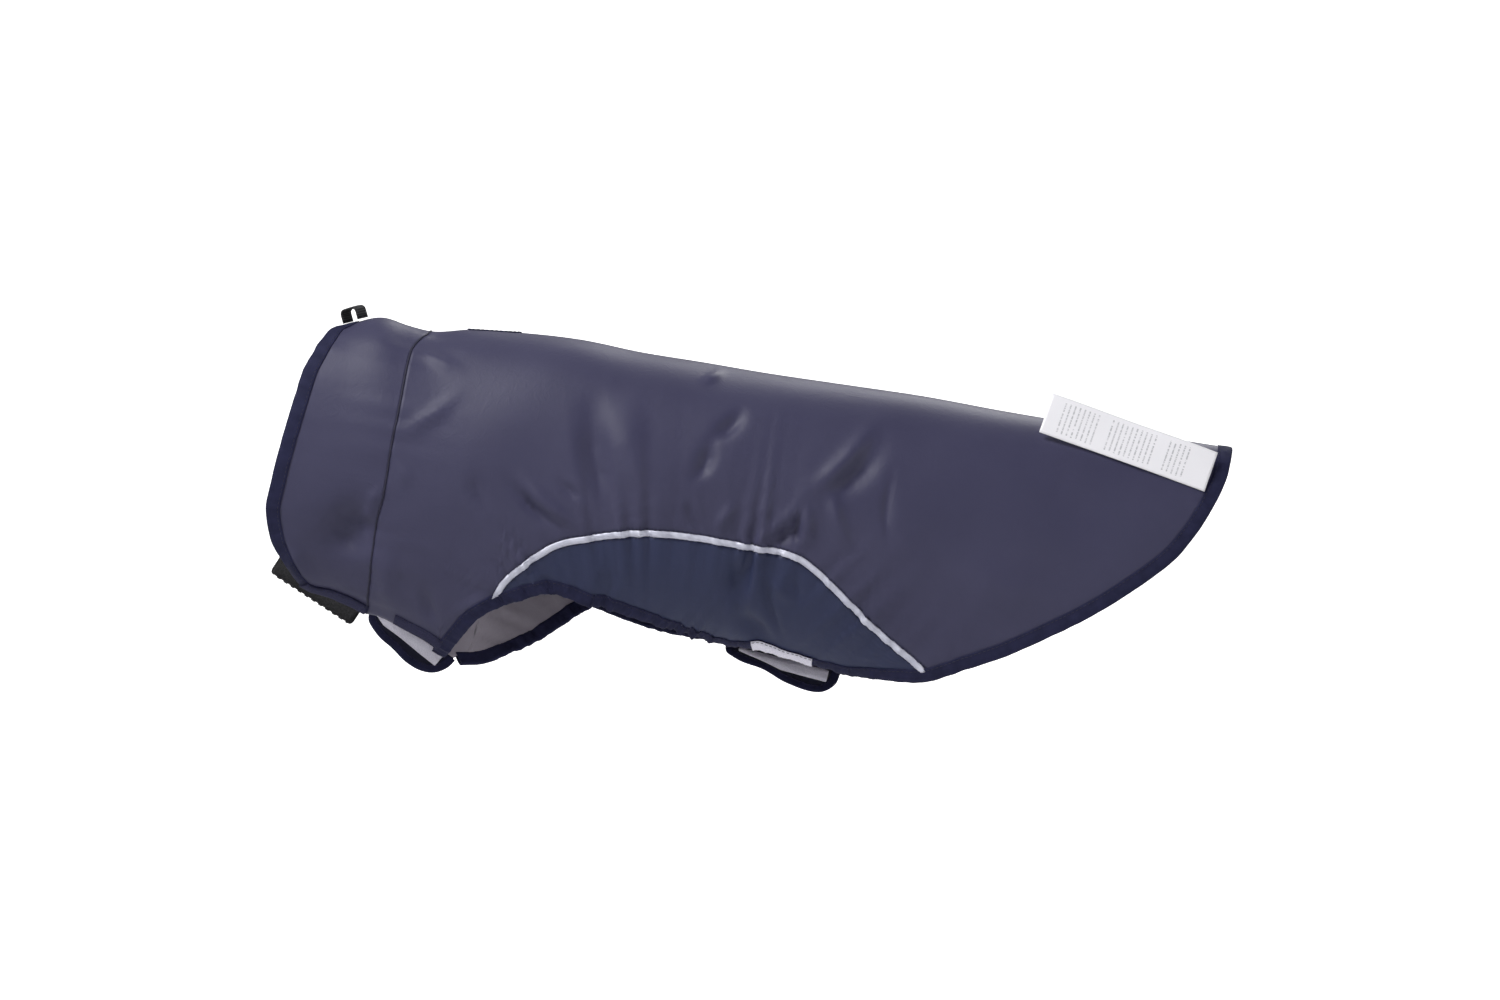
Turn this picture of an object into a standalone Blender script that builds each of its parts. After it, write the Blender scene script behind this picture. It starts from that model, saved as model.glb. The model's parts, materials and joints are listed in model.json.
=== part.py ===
"""Dog rain coat: back shell with bound hem, standing collar, belly panels and hook-and-loop tabs.

World frame: +Z up, the head end towards -X and the tail towards +X, the left half at -Y.
The origin is on the inside of the coat where the neck seam crosses the spine (the withers).

Every panel lies on one egg-shaped skin round the dog. A place on the skin is (x, a): a distance
along the back and an angle round the body, 0 on the spine and pi under the belly. Side -1 is the
left half and side +1 is the right half. Outlines are drawn in the side view on a chart of
545 by 234 units, one unit to the millimetre at the coat's nominal size.
"""
import math

import bmesh
import bpy
import numpy as np
from mathutils import Matrix, Vector

# ---- driving dimensions, metres ----
BACK_LENGTH = 0.545
COLLAR_REACH = 0.105
BODY_DEPTH = 0.234
BODY_WIDTH = 0.136
LINING_THICKNESS = 0.0005
SHELL_THICKNESS = 0.0006
BINDING_WIDTH = 0.010
BINDING_LIP = 0.0005
PIPING_WIDTH = 0.0045
PIPING_THICKNESS = 0.0012
ELASTIC_WIDTH = 0.006
ELASTIC_THICKNESS = 0.0006
CASING_WALL = 0.0006
GAP = 0.0003
HINGE_GAP = 0.0011
SEAM_GAP = 0.0003
TAPE_THICKNESS = 0.0009
TAB_THICKNESS = 0.0012
TAB_BINDING_WIDTH = 0.006
TAB_BINDING_THICKNESS = 0.0016
CHEST_TAB_DROP = 0.0255
CHEST_TAB_LEAN = math.radians(40)
CHEST_TAPE_WIDTH = 0.0125
BELLY_TAB_DROP = 0.0225
BELLY_TAB_LEAN = math.radians(45)
BELLY_TAPE_WIDTH = 0.0105
COLLAR_TAB_DROP = 0.0245
COLLAR_TAB_LEAN = math.radians(6)
HOOK_TAPE_WIDTH = 0.0095
LABEL_LENGTH = 0.118
LABEL_WIDTH = 0.029
LABEL_THICKNESS = 0.0004
LOOP_LENGTH = 0.015
LOOP_HEIGHT = 0.0095
LOOP_WEBBING_WIDTH = 0.010
LOOP_WEBBING_THICKNESS = 0.0016
SLIT_LENGTH = 0.030
SLIT_WIDTH = 0.0045
SLIT_BINDING_WIDTH = 0.0035
SLIT_START = 0.032
SLIT_CUT_REACH = 0.015
TAPE_MARGIN = 0.0015
COLLAR_TAB_CORNER = 0.003

# ---- chart size, in chart units ----
CHART_LENGTH = 545
CHART_REACH = 105
CHART_DEPTH = 234
CHART_WIDTH = 136

# ---- skin round the dog: height of the back and of the belly, and half width, along the chart ----
BACK_LINE = [(-110, -4), (-80, 0), (-54, 4), (-27, 9), (-12, 4), (4, 0), (30, 1), (64, -1), (107, -6),
             (145, -14), (188, -21), (229, -28), (283, -36), (337, -44), (391, -54), (470, -67), (545, -79)]
LEFT_BELLY_LINE = [(-110, -160), (-83, -170), (-38, -191), (15, -220), (60, -223), (112, -214),
                   (179, -208), (230, -217), (261, -226), (287, -238), (340, -272), (420, -310), (545, -325)]
RIGHT_BELLY_LINE = [(-110, -160), (-83, -170), (-38, -190), (-6, -212), (10, -223), (24, -233), (60, -230),
                    (112, -216), (179, -210), (200, -213), (221, -218), (242, -224), (263, -230), (284, -236),
                    (340, -272), (420, -310), (545, -325)]
HALF_WIDTHS = [(-110, 48), (-60, 52), (-38, 54), (0, 58), (60, 65), (120, 68), (200, 67), (290, 65),
               (400, 60), (480, 51), (545, 38)]

# ---- edges in the side view, chart units ----
NECK_SEAM = [(4, 0), (-6, -9), (-10, -20), (-16, -55), (-20, -75), (-25, -107), (-31, -130), (-34, -153)]
HEM = [(287, -231), (314, -234), (338, -234), (364, -226), (391, -217), (418, -205), (445, -192),
       (472, -176), (499, -157), (512, -144), (526, -125), (539, -101), (545, -79)]
EDGES = {
    -1: {"chest": [(-38, -188), (-28, -190.5), (-13, -199), (3, -207.5), (15, -217)],
         "leg": [(15, -217), (26, -204), (36, -193), (47, -186), (72, -178), (84, -175), (98, -178),
                 (112, -183)],
         "belly": [(112, -183), (125, -186), (155, -196), (179, -203), (209, -210), (230, -213),
                   (261, -222), (287, -231)],
         "piping": [(46, -183), (50, -176), (56, -167), (73, -153), (90, -143), (108, -139), (143, -135),
                    (177, -137), (217, -144), (245, -149), (262, -159), (284, -180), (304, -200), (318, -212),
                    (336, -227)],
         "collar": [(-38, -188), (-54, -180), (-72, -173), (-83, -166), (-92, -155), (-101, -141),
                    (-105, -120), (-101, -99), (-94, -72), (-82, -32), (-76, -18), (-64, 0), (-54, 4)]},
    1: {"chest": [(-36, -177), (-6, -201), (24, -224)],
        "leg": [(24, -224), (38, -223), (53, -218), (72, -210), (88, -200), (103, -190), (112, -185)],
        "belly": [(112, -185), (151, -199), (180, -205), (200, -208), (242, -219), (287, -231)],
        "piping": [(29, -216), (35, -204), (44, -188), (56, -167), (73, -153), (90, -143), (108, -139),
                   (143, -135), (177, -137), (217, -144), (245, -149), (262, -159), (284, -180), (304, -200),
                   (318, -212), (336, -227)],
        "collar": [(-36, -177), (-60, -161), (-85, -145), (-97, -137), (-103, -127), (-104, -115),
                   (-101, -99), (-94, -72), (-82, -32), (-76, -18), (-64, 0), (-54, 4)]},
}
COLLAR_CORNERS = {-1: (-83, -166), 1: (-97, -137)}
HEM_CORNER = (512, -144)
CHEST_HOOK_SPAN = (-20, 8)
BELLY_HOOK_SPAN = (222, 262)
HINGE_SPANS = {"chest": (-33, 20), "belly": (203, 281), "collar": (-37, -93)}
LABEL_CORNER = (524, -108)
LABEL_RUN = (-115.5, -1, 42)
LABEL_RISE = (11.3, 8, 25.5)
LOOP_FEET = [(-53.5, 4.6), (-40, 8.4)]

# ---- mesh steps ----
ROW_MARKS = (0, 0.04, 0.13, 0.25, 0.38, 0.51, 0.64, 0.76, 0.88, 1)
FINE = 400
WELD = 0.00002
CHEST_STEPS = 4
NOTCH_STEPS = 3
LEG_STEPS = 6
BELLY_STEPS = 12
BELLY_ROWS = 3
FLANK_STEPS = 3
HEM_STEPS = 9
COLLAR_STEPS = 5
TAB_POINTS = 18

# ---- layers, as distances out from the skin ----
SHELL_BASE = LINING_THICKNESS + GAP
SHELL_TOP = SHELL_BASE + SHELL_THICKNESS
PANEL_INSET = BINDING_WIDTH + GAP

# ---- tab outlines: shares of the hinge length, and of the drop or of the tape's width ----
CHEST_TAB_SHAPE = [(0, 0), (0.01, 0.3), (0.07, 0.66), (0.22, 0.86), (0.42, 0.95), (0.62, 1), (0.8, 0.92),
                   (0.93, 0.65), (0.99, 0.3), (1, 0)]
CHEST_TAPE_SHAPE = [(0.1, 0), (0.88, 0), (0.88, 1), (0.22, 1), (0.1, 0.75)]
BELLY_TAB_SHAPE = [(0, 0), (0.02, 0.3), (0.12, 0.5), (0.35, 0.66), (0.58, 0.92), (0.76, 1), (0.9, 0.88),
                   (0.98, 0.5), (1, 0)]
BELLY_TAPE_SHAPE = [(0.12, 0), (0.9, 0), (0.9, 1), (0.5, 1), (0.3, 0.6), (0.12, 0.3)]

WORDS = {-1: "left", 1: "right"}

COLOURS = {
    "shell": (0.055, 0.055, 0.100), "panel": (0.036, 0.042, 0.080), "lining": (0.092, 0.080, 0.107),
    "binding": (0.016, 0.016, 0.048), "piping": (0.680, 0.680, 0.780), "tape": (0.578, 0.565, 0.680),
    "hook": (0.014, 0.014, 0.034), "black": (0.021, 0.021, 0.023), "elastic": (0.030, 0.030, 0.034),
    "label": (0.870, 0.855, 0.900),
}
ROUGHNESS = {"shell": 0.5, "panel": 0.5, "lining": 0.6, "binding": 0.6, "piping": 0.35, "tape": 0.9,
             "hook": 0.8, "black": 0.8, "elastic": 0.8, "label": 0.5}


def chart(points):
    """Chart points as metres at the coat's driven size."""
    table = np.array(points, dtype=float)
    reach = np.where(table[:, 0] < 0, COLLAR_REACH / CHART_REACH, BACK_LENGTH / CHART_LENGTH)
    return np.column_stack([table[:, 0] * reach, table[:, 1] * BODY_DEPTH / CHART_DEPTH])


def smooth(stations, x):
    """Height of a smooth line through the chart stations, at x."""
    table = chart(stations)
    slope = np.gradient(table[:, 1], table[:, 0])
    at = np.clip(np.searchsorted(table[:, 0], x) - 1, 0, len(table) - 2)
    span = table[at + 1, 0] - table[at, 0]
    t = (x - table[at, 0]) / span
    start = (2 * t**3 - 3 * t**2 + 1) * table[at, 1] + (t**3 - 2 * t**2 + t) * span * slope[at]
    end = (3 * t**2 - 2 * t**3) * table[at + 1, 1] + (t**3 - t**2) * span * slope[at + 1]
    return start + end


def trace(points, count):
    """Equally spaced points on a smooth curve through the chart points."""
    knots = chart(points)
    padded = np.vstack([2 * knots[0] - knots[1], knots, 2 * knots[-1] - knots[-2]])
    t = np.linspace(0, 1, 24, endpoint=False)[:, None]
    pieces = []
    for p0, p1, p2, p3 in zip(padded, padded[1:], padded[2:], padded[3:]):
        pieces.append(p1 + 0.5 * (p2 - p0) * t + (p0 - 2.5 * p1 + 2 * p2 - 0.5 * p3) * t**2
                      + (1.5 * p1 - 0.5 * p0 - 1.5 * p2 + 0.5 * p3) * t**3)
    fine = np.vstack(pieces + [knots[-1:]])
    run = np.concatenate([[0], np.cumsum(np.linalg.norm(np.diff(fine, axis=0), axis=1))])
    want = np.linspace(0, run[-1], count)
    return np.column_stack([np.interp(want, run, fine[:, 0]), np.interp(want, run, fine[:, 1])])


def body(side, x):
    """Centre height, half height and half width of the skin at x."""
    top = smooth(BACK_LINE, x)
    bottom = smooth(LEFT_BELLY_LINE if side < 0 else RIGHT_BELLY_LINE, x)
    width = smooth(HALF_WIDTHS, x) * CHART_DEPTH / BODY_DEPTH * BODY_WIDTH / CHART_WIDTH
    return (top + bottom) / 2, (top - bottom) / 2, width


def on_skin(side, path):
    """Side-view points as places (x, a) on the skin."""
    centre, half_height, _ = body(side, path[:, 0])
    ratio = np.clip((path[:, 1] - centre) / half_height, -1, 1)
    return np.column_stack([path[:, 0], np.arccos(ratio)])


def on_body(side, spots):
    """World points of places on the skin itself."""
    x, a = spots[..., 0], spots[..., 1]
    centre, half_height, width = body(side, x)
    return np.stack([x, side * width * np.sin(a), centre + half_height * np.cos(a)], axis=-1)


def tangents(side, spots):
    """How the skin runs for a small step along the body and for a small step round it."""
    step = 0.0002
    along_x = (on_body(side, spots + (step, 0)) - on_body(side, spots - (step, 0))) / (2 * step)
    along_a = (on_body(side, spots + (0, step)) - on_body(side, spots - (0, step))) / (2 * step)
    return along_x, along_a


def place(side, spots, out=0.0):
    """World points of places on the skin, moved straight out from it by a distance."""
    along_x, along_a = tangents(side, spots)
    normal = side * np.cross(along_x, along_a)
    return on_body(side, spots) + out * normal / np.linalg.norm(normal, axis=-1, keepdims=True)


def inset(side, path, distance, spine_step=0.0):
    """The path moved into the panel along the skin. A spine_step keeps its last point on the spine."""
    along_x, along_a = tangents(side, path)
    tangent = np.gradient(on_body(side, path), axis=0)
    inward = np.cross(np.cross(along_x, along_a), tangent)
    inward /= np.linalg.norm(inward, axis=1)[:, None]
    xx = np.sum(along_x * along_x, axis=1)
    xa = np.sum(along_x * along_a, axis=1)
    aa = np.sum(along_a * along_a, axis=1)
    rx = np.sum(along_x * inward, axis=1)
    ra = np.sum(along_a * inward, axis=1)
    det = xx * aa - xa * xa
    move = np.column_stack([(rx * aa - ra * xa) / det, (ra * xx - rx * xa) / det])
    if move[0, 1] > 0:
        move = -move
    moved = path + distance * move
    if spine_step:
        moved[-1] = path[-1] + (spine_step * distance, 0)
    return moved


def by_angle(path):
    """Places on the path at the row marks' shares of its angle, from the spine down."""
    order = np.argsort(path[:, 1])
    angles = np.array(ROW_MARKS) * path[:, 1].max()
    return np.column_stack([np.interp(angles, path[order, 1], path[order, 0]), angles])


def crossing(side, line, edge):
    """Where a line across the skin comes nearest to an edge: the index on each."""
    gaps = np.linalg.norm(place(side, line)[:, None] - place(side, edge)[None], axis=2)
    return np.unravel_index(np.argmin(gaps), gaps.shape)


def between(path, first, last, steps):
    """Places at equal steps between two indices of a fine path."""
    return path[np.round(np.linspace(first, last, steps + 1)).astype(int)]


def piping_lines(side):
    """Fine lines beside the piping: where the panels end and where the piping's own edges lie."""
    centre = trace(EDGES[side]["piping"], FINE)
    heading = np.gradient(centre, axis=0)
    heading /= np.linalg.norm(heading, axis=1)[:, None]
    normal = np.column_stack([-heading[:, 1], heading[:, 0]])
    reach = PIPING_WIDTH / 2
    offsets = {"above": reach + GAP, "top": reach, "bottom": -reach, "below": -reach - GAP}
    return {name: on_skin(side, centre + offset * normal) for name, offset in offsets.items()}


def half_outline(side):
    """The edges of one half as places on the skin, with a station where each piping line ends."""
    leg = on_skin(side, trace(EDGES[side]["leg"], FINE))
    belly = on_skin(side, trace(EDGES[side]["belly"], BELLY_STEPS + 1))
    hem_line = trace(HEM, FINE)
    hem = on_skin(side, hem_line)
    corner = int(np.argmin(np.abs(hem_line[:, 0] - chart([HEM_CORNER])[0, 0])))
    lines = piping_lines(side)
    leg_panel = inset(side, leg, PANEL_INSET)
    hem_panel = inset(side, hem, PANEL_INSET)
    half = FINE // 2
    ends = ("above", "below")
    front = {name: crossing(side, lines[name][:half], leg_panel[:half]) for name in ends}
    rear = {name: crossing(side, lines[name][half:], hem_panel[:half]) for name in ends}
    tail = by_angle(hem[corner:])[::-1]
    tail[-1] = (tail[-1, 0], 0)
    parts = [between(leg, 0, front["above"][1], NOTCH_STEPS),
             between(leg, front["below"][1], FINE - 1, LEG_STEPS),
             belly[1:], between(hem, 0, rear["below"][1], FLANK_STEPS)[1:],
             between(hem, rear["above"][1], corner, HEM_STEPS), tail[1:]]
    stations = np.cumsum([len(part) for part in parts]) - 1
    lower = np.vstack(parts)
    panel = inset(side, lower, PANEL_INSET, -1)
    names = ("pipe_top_front", "leg_end", "belly_end", "pipe_bottom_rear", "corner", "tip")
    marks = dict(zip(names, stations))
    under = panel[marks["pipe_top_front"] + 1:marks["pipe_bottom_rear"] + 1]
    run = np.linalg.norm(np.diff(place(side, under), axis=0), axis=1)
    share = np.concatenate([[0], np.cumsum(run)]) / run.sum()
    rows = {}
    for name, line in lines.items():
        key = "above" if name in ("above", "top") else "below"
        start, end = front[key][0], half + rear[key][0]
        rows[name] = line[np.round(start + share * (end - start)).astype(int)]
    rows["above"][0], rows["above"][-1] = panel[marks["pipe_top_front"]], panel[marks["pipe_bottom_rear"] + 1]
    rows["below"][0], rows["below"][-1] = panel[marks["pipe_top_front"] + 1], panel[marks["pipe_bottom_rear"]]
    for end in (0, -1):
        width = place(side, rows["above"][end]) - place(side, rows["below"][end])
        share_in = GAP / np.linalg.norm(width)
        rows["top"][end] = (1 - share_in) * rows["above"][end] + share_in * rows["below"][end]
        rows["bottom"][end] = share_in * rows["above"][end] + (1 - share_in) * rows["below"][end]
    return {"lower": lower, "panel": panel, "marks": marks, "rows": rows}


def seam_rows(side):
    """Places down the neck seam at the row marks."""
    return by_angle(on_skin(side, trace(NECK_SEAM + [EDGES[side]["chest"][0]], FINE)))


def coons(top, bottom, left, right):
    """Places of a four-sided patch, its rows running from the top edge to the bottom edge."""
    u = np.linspace(0, 1, len(top))[None, :, None]
    v = np.array(ROW_MARKS)[:, None, None]
    ruled = (1 - v) * top[None] + v * bottom[None]
    blend = (1 - u) * left[:, None] + u * right[:, None]
    corners = (1 - v) * ((1 - u) * top[0] + u * top[-1]) + v * ((1 - u) * bottom[0] + u * bottom[-1])
    return ruled + blend - corners


def spine(start, end, shares):
    """Places along the spine at given shares of the way between two x values."""
    return np.column_stack([start + (end - start) * np.array(shares), np.zeros(len(shares))])


def back_patch(side, outline, shares=None):
    """The back panel of one half as places, with the shares used along its spine."""
    marks, panel, rows = outline["marks"], outline["panel"], outline["rows"]
    chest = on_skin(side, trace(EDGES[side]["chest"], CHEST_STEPS + 1))[:-1]
    bottom = np.vstack([chest, panel[:marks["pipe_top_front"] + 1], rows["above"][1:],
                        panel[marks["pipe_bottom_rear"] + 2:marks["corner"] + 1]])
    left = seam_rows(side) + (SEAM_GAP, 0)
    bottom[0] = left[-1]
    right = panel[marks["corner"]:][::-1]
    if shares is None:
        run = np.concatenate([[0], np.cumsum(np.linalg.norm(np.diff(place(side, bottom), axis=0), axis=1))])
        shares = run / run[-1]
    top = spine(left[0, 0], right[0, 0], shares)
    return coons(top, bottom, left, right), shares


def belly_patch(outline):
    """The belly panel of one half as places, between the piping and the lower edge."""
    marks = outline["marks"]
    top = outline["rows"]["below"]
    bottom = outline["panel"][marks["pipe_top_front"] + 1:marks["pipe_bottom_rear"] + 1]
    v = np.linspace(0, 1, BELLY_ROWS + 1)[:, None, None]
    return (1 - v) * top[None] + v * bottom[None]


def collar_outline(side):
    """The collar's bound edge from the seam, round its corner and up to the spine."""
    edge = on_skin(side, trace(EDGES[side]["collar"], FINE))
    turn = int(np.argmin(np.abs(edge - on_skin(side, chart([COLLAR_CORNERS[side]]))).sum(axis=1)))
    front = by_angle(edge[turn:])[::-1]
    front[-1] = (front[-1, 0], 0)
    return np.vstack([between(edge, 0, turn, COLLAR_STEPS), front[1:]])


def collar_inset(side, distance):
    """The collar's edge moved into the collar, its first place kept on the neck seam."""
    moved = inset(side, collar_outline(side), distance, 1)
    seam = on_skin(side, trace(NECK_SEAM + [EDGES[side]["chest"][0]], FINE))[::-1]
    run = np.concatenate([[0], np.cumsum(np.linalg.norm(np.diff(on_body(side, seam), axis=0), axis=1))])
    moved[0] = (np.interp(distance, run, seam[:, 0]), np.interp(distance, run, seam[:, 1]))
    return moved


def collar_rail(side, levels):
    """Rows of points along the collar's edge, one for each (distance inside it, distance off the skin)."""
    return np.stack([place(side, collar_inset(side, distance), out) for distance, out in levels])


def collar_patch(side):
    """The collar of one half as places."""
    panel = collar_inset(side, PANEL_INSET)
    bottom = panel[:COLLAR_STEPS + 1][::-1]
    left = panel[COLLAR_STEPS:][::-1]
    right = seam_rows(side) - (SEAM_GAP, 0)
    right[-1] = bottom[-1] - (SEAM_GAP, 0)
    bottom[-1] = right[-1]
    top = spine(left[0, 0], right[0, 0], np.linspace(0, 1, COLLAR_STEPS + 1))
    return coons(top, bottom, left, right)


def material(colour, name):
    """The Principled material of one piece."""
    made = bpy.data.materials.new(name)
    made.use_nodes = True
    shader = made.node_tree.nodes["Principled BSDF"]
    shader.inputs["Base Color"].default_value = COLOURS[colour] + (1,)
    shader.inputs["Roughness"].default_value = ROUGHNESS[colour]
    shader.inputs["Metallic"].default_value = 0
    return made


def keep(name, data, colour, parent=None):
    """A part of the coat from its mesh or curve, in the coat's collection."""
    data.materials.append(material(colour, name))
    made = bpy.data.objects.new(name, data)
    made.parent = parent
    coat.objects.link(made)
    return made


def as_mesh(name, mesh):
    """Mesh data from a bmesh."""
    data = bpy.data.meshes.new(name)
    mesh.to_mesh(data)
    mesh.free()
    return data


def add_grid(mesh, points):
    """A grid of faces whose corners take the given rows of points."""
    rows, columns = points.shape[:2]
    made = bmesh.ops.create_grid(mesh, x_segments=columns - 1, y_segments=rows - 1, size=0.5)
    for vert in made["verts"]:
        column = round((vert.co.x + 0.5) * (columns - 1))
        row = round((vert.co.y + 0.5) * (rows - 1))
        vert.co = points[row, column]


def add_sheet(name, patches, thickness, colour):
    """One sheet of cloth from grids that share their edges, thickened outwards."""
    mesh = bmesh.new()
    for points in patches:
        add_grid(mesh, points)
    bmesh.ops.remove_doubles(mesh, verts=mesh.verts, dist=WELD)
    bmesh.ops.triangulate(mesh, faces=mesh.faces, quad_method="FIXED")
    bmesh.ops.recalc_face_normals(mesh, faces=mesh.faces)
    outward = 0.0
    for face in mesh.faces:
        middle = face.calc_center_median()
        outward += face.calc_area() * face.normal.dot(Vector((0, middle.y, middle.z + BODY_DEPTH / 2)))
    if outward < 0:
        bmesh.ops.reverse_faces(mesh, faces=mesh.faces)
    made = keep(name, as_mesh(name, mesh), colour)
    made.data.shade_smooth()
    solid = made.modifiers.new("thickness", "SOLIDIFY")
    solid.thickness = thickness
    solid.offset = 1
    return made


def shortened(points, start=GAP, end=GAP):
    """Rows of points with their first and last columns drawn in along the rows."""
    cut = points.copy()
    first = points[:, 1] - points[:, 0]
    last = points[:, -2] - points[:, -1]
    cut[:, 0] += first / np.linalg.norm(first, axis=-1)[:, None] * start
    cut[:, -1] += last / np.linalg.norm(last, axis=-1)[:, None] * end
    return cut


def rail(side, path, levels, spine_step=0.0):
    """Rows of points along an edge, one for each (distance inside the edge, distance off the skin)."""
    return np.stack([place(side, inset(side, path, distance, spine_step), out) for distance, out in levels])


def add_casing(name, side, path, first, last):
    """A folded strip round part of an edge, with a slot for its elastic that opens to the panel."""
    low, high = -BINDING_LIP, SHELL_TOP + BINDING_LIP
    floor = BINDING_WIDTH - CASING_WALL - ELASTIC_WIDTH - 3 * GAP
    section = [(0, low), (BINDING_WIDTH, low), (BINDING_WIDTH, low + CASING_WALL), (floor, low + CASING_WALL),
               (floor, high - CASING_WALL), (BINDING_WIDTH, high - CASING_WALL), (BINDING_WIDTH, high),
               (0, high)]
    rings = shortened(rail(side, path, section, -1)[:, first:last + 1])
    mesh = bmesh.new()
    loops = [[mesh.verts.new(point) for point in rings[:, i]] for i in range(rings.shape[1])]
    for near, far in zip(loops, loops[1:]):
        for i in range(len(section)):
            if section[i][0] < section[i - 1][0]:
                mesh.faces.new((near[i], near[i - 1], far[i - 1]))
                mesh.faces.new((near[i], far[i - 1], far[i]))
            else:
                mesh.faces.new((near[i], near[i - 1], far[i]))
                mesh.faces.new((near[i - 1], far[i - 1], far[i]))
    mesh.faces.new(loops[0])
    mesh.faces.new(loops[-1][::-1])
    bmesh.ops.recalc_face_normals(mesh, faces=mesh.faces)
    keep(name, as_mesh(name, mesh), "binding")
    middle = (low + high - ELASTIC_THICKNESS) / 2
    levels = [(floor + GAP, middle), (floor + GAP + ELASTIC_WIDTH, middle)]
    strip = shortened(rail(side, path, levels, -1)[:, first:last + 1], 2 * GAP, 2 * GAP)
    add_sheet(name.replace("casing", "elastic"), [strip], ELASTIC_THICKNESS, "elastic")


def add_torso():
    """Back shell, lining, belly panels, piping, casings and hem binding."""
    outlines = {side: half_outline(side) for side in WORDS}
    back = {}
    back[-1], shares = back_patch(-1, outlines[-1])
    back[1], _ = back_patch(1, outlines[1], shares)
    shell, lining, hem = [], [], []
    for side, word in WORDS.items():
        outline = outlines[side]
        rows, marks, lower = outline["rows"], outline["marks"], outline["lower"]
        belly = belly_patch(outline)
        shell.append(place(side, back[side], SHELL_BASE))
        under_piping = place(side, np.stack([rows["above"], rows["below"]]))
        lining += [place(side, back[side]), under_piping, place(side, belly)]
        add_sheet("belly_panel_" + word, [place(side, belly, SHELL_BASE)], SHELL_THICKNESS, "panel")
        piping = place(side, np.stack([rows["top"], rows["bottom"]]), SHELL_BASE)
        add_sheet("reflective_piping_" + word, [piping], PIPING_THICKNESS, "piping")
        add_casing("leg_casing_" + word, side, lower, 0, marks["leg_end"])
        add_casing("belly_casing_" + word, side, lower, marks["leg_end"], marks["belly_end"])
        levels = [(0, -BINDING_LIP), (BINDING_WIDTH, -BINDING_LIP)]
        hem.append(shortened(rail(side, lower, levels, -1)[:, marks["belly_end"]:], end=0))
    add_sheet("hem_binding", hem, SHELL_TOP + 2 * BINDING_LIP, "binding")
    return [add_sheet("back_shell", shell, SHELL_THICKNESS, "shell"),
            add_sheet("back_lining", lining, LINING_THICKNESS, "lining")], outlines[-1]


def add_collar():
    """Collar shell, lining and binding."""
    patches = {side: collar_patch(side) for side in WORDS}
    outer = [place(side, patches[side], SHELL_BASE) for side in WORDS]
    add_sheet("collar_shell", outer, SHELL_THICKNESS, "shell")
    add_sheet("collar_lining", [place(side, patches[side]) for side in WORDS], LINING_THICKNESS, "lining")
    levels = [(0, -BINDING_LIP), (BINDING_WIDTH, -BINDING_LIP)]
    edge = [shortened(collar_rail(side, levels), end=0) for side in WORDS]
    add_sheet("collar_binding", edge, SHELL_TOP + 2 * BINDING_LIP, "binding")


def add_near_tapes(left):
    """Fastening tapes on the outside of the left half's lower edges."""
    chest = on_skin(-1, trace(EDGES[-1]["chest"], FINE))
    low, high = chart([(CHEST_HOOK_SPAN[0], 0), (CHEST_HOOK_SPAN[1], 0)])[:, 0]
    inside = np.flatnonzero((chest[:, 0] > low) & (chest[:, 0] < high))
    levels = [(GAP * 3, SHELL_TOP + GAP), (GAP * 3 + HOOK_TAPE_WIDTH, SHELL_TOP + GAP)]
    strip = rail(-1, chest, levels)[:, inside[0]:inside[-1]:(inside[-1] - inside[0]) // 4]
    add_sheet("chest_hook_tape", [strip], TAPE_THICKNESS, "hook")
    level = SHELL_TOP + BINDING_LIP + GAP
    levels = [(GAP, level), (GAP + HOOK_TAPE_WIDTH, level)]
    low, high = chart([(BELLY_HOOK_SPAN[0], 0), (BELLY_HOOK_SPAN[1], 0)])[:, 0]
    lower, marks = left["lower"], left["marks"]
    chosen = [i for i in range(marks["leg_end"], marks["belly_end"] + 1) if low < lower[i, 0] < high]
    add_sheet("belly_hook_tape", [rail(-1, lower, levels, -1)[:, chosen]], TAPE_THICKNESS, "tape")
    collar = collar_rail(-1, levels)[:, :COLLAR_STEPS]
    add_sheet("collar_loop_tape", [shortened(collar, 4 * GAP, GAP)], TAPE_THICKNESS, "hook")


def hinge_frame(name, edge, lean):
    """A tab's hinge past an edge of the right half, X along it and Y down the tab, and its length."""
    path = on_skin(1, trace(EDGES[1][edge], FINE))
    path = path[:int(np.argmin(path[:, 0])) or FINE]
    low, high = chart([(x, 0) for x in HINGE_SPANS[edge]])[:, 0]
    first, last = sorted(int(np.argmin(np.abs(path[:, 0] - x))) for x in (low, high))
    rim = place(1, path[first:last + 1], SHELL_TOP / 2)
    heading = (rim[-1] - rim[0]) / np.linalg.norm(rim[-1] - rim[0])
    sag = (rim - rim[0]) - np.outer((rim - rim[0]) @ heading, heading)
    bulge = max(0, -sag[:, 2].min())
    past = place(1, inset(1, path, -max(HINGE_GAP, bulge + GAP)), SHELL_TOP / 2)
    ends = sorted(past[at].tolist() for at in (first, last))
    start, end = Vector(ends[0]), Vector(ends[1])
    along = (end - start).normalized()
    down = (Vector((0, 0, -1)) - along * along.dot(Vector((0, 0, -1)))).normalized()
    inward = along.cross(down) * -1
    fall = down * math.cos(lean) + inward * math.sin(lean)
    turn = Matrix((along, fall, along.cross(fall))).transposed()
    empty = bpy.data.objects.new(name, None)
    empty.matrix_world = Matrix.Translation(start) @ turn.to_4x4()
    coat.objects.link(empty)
    return empty, (end - start).length


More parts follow.
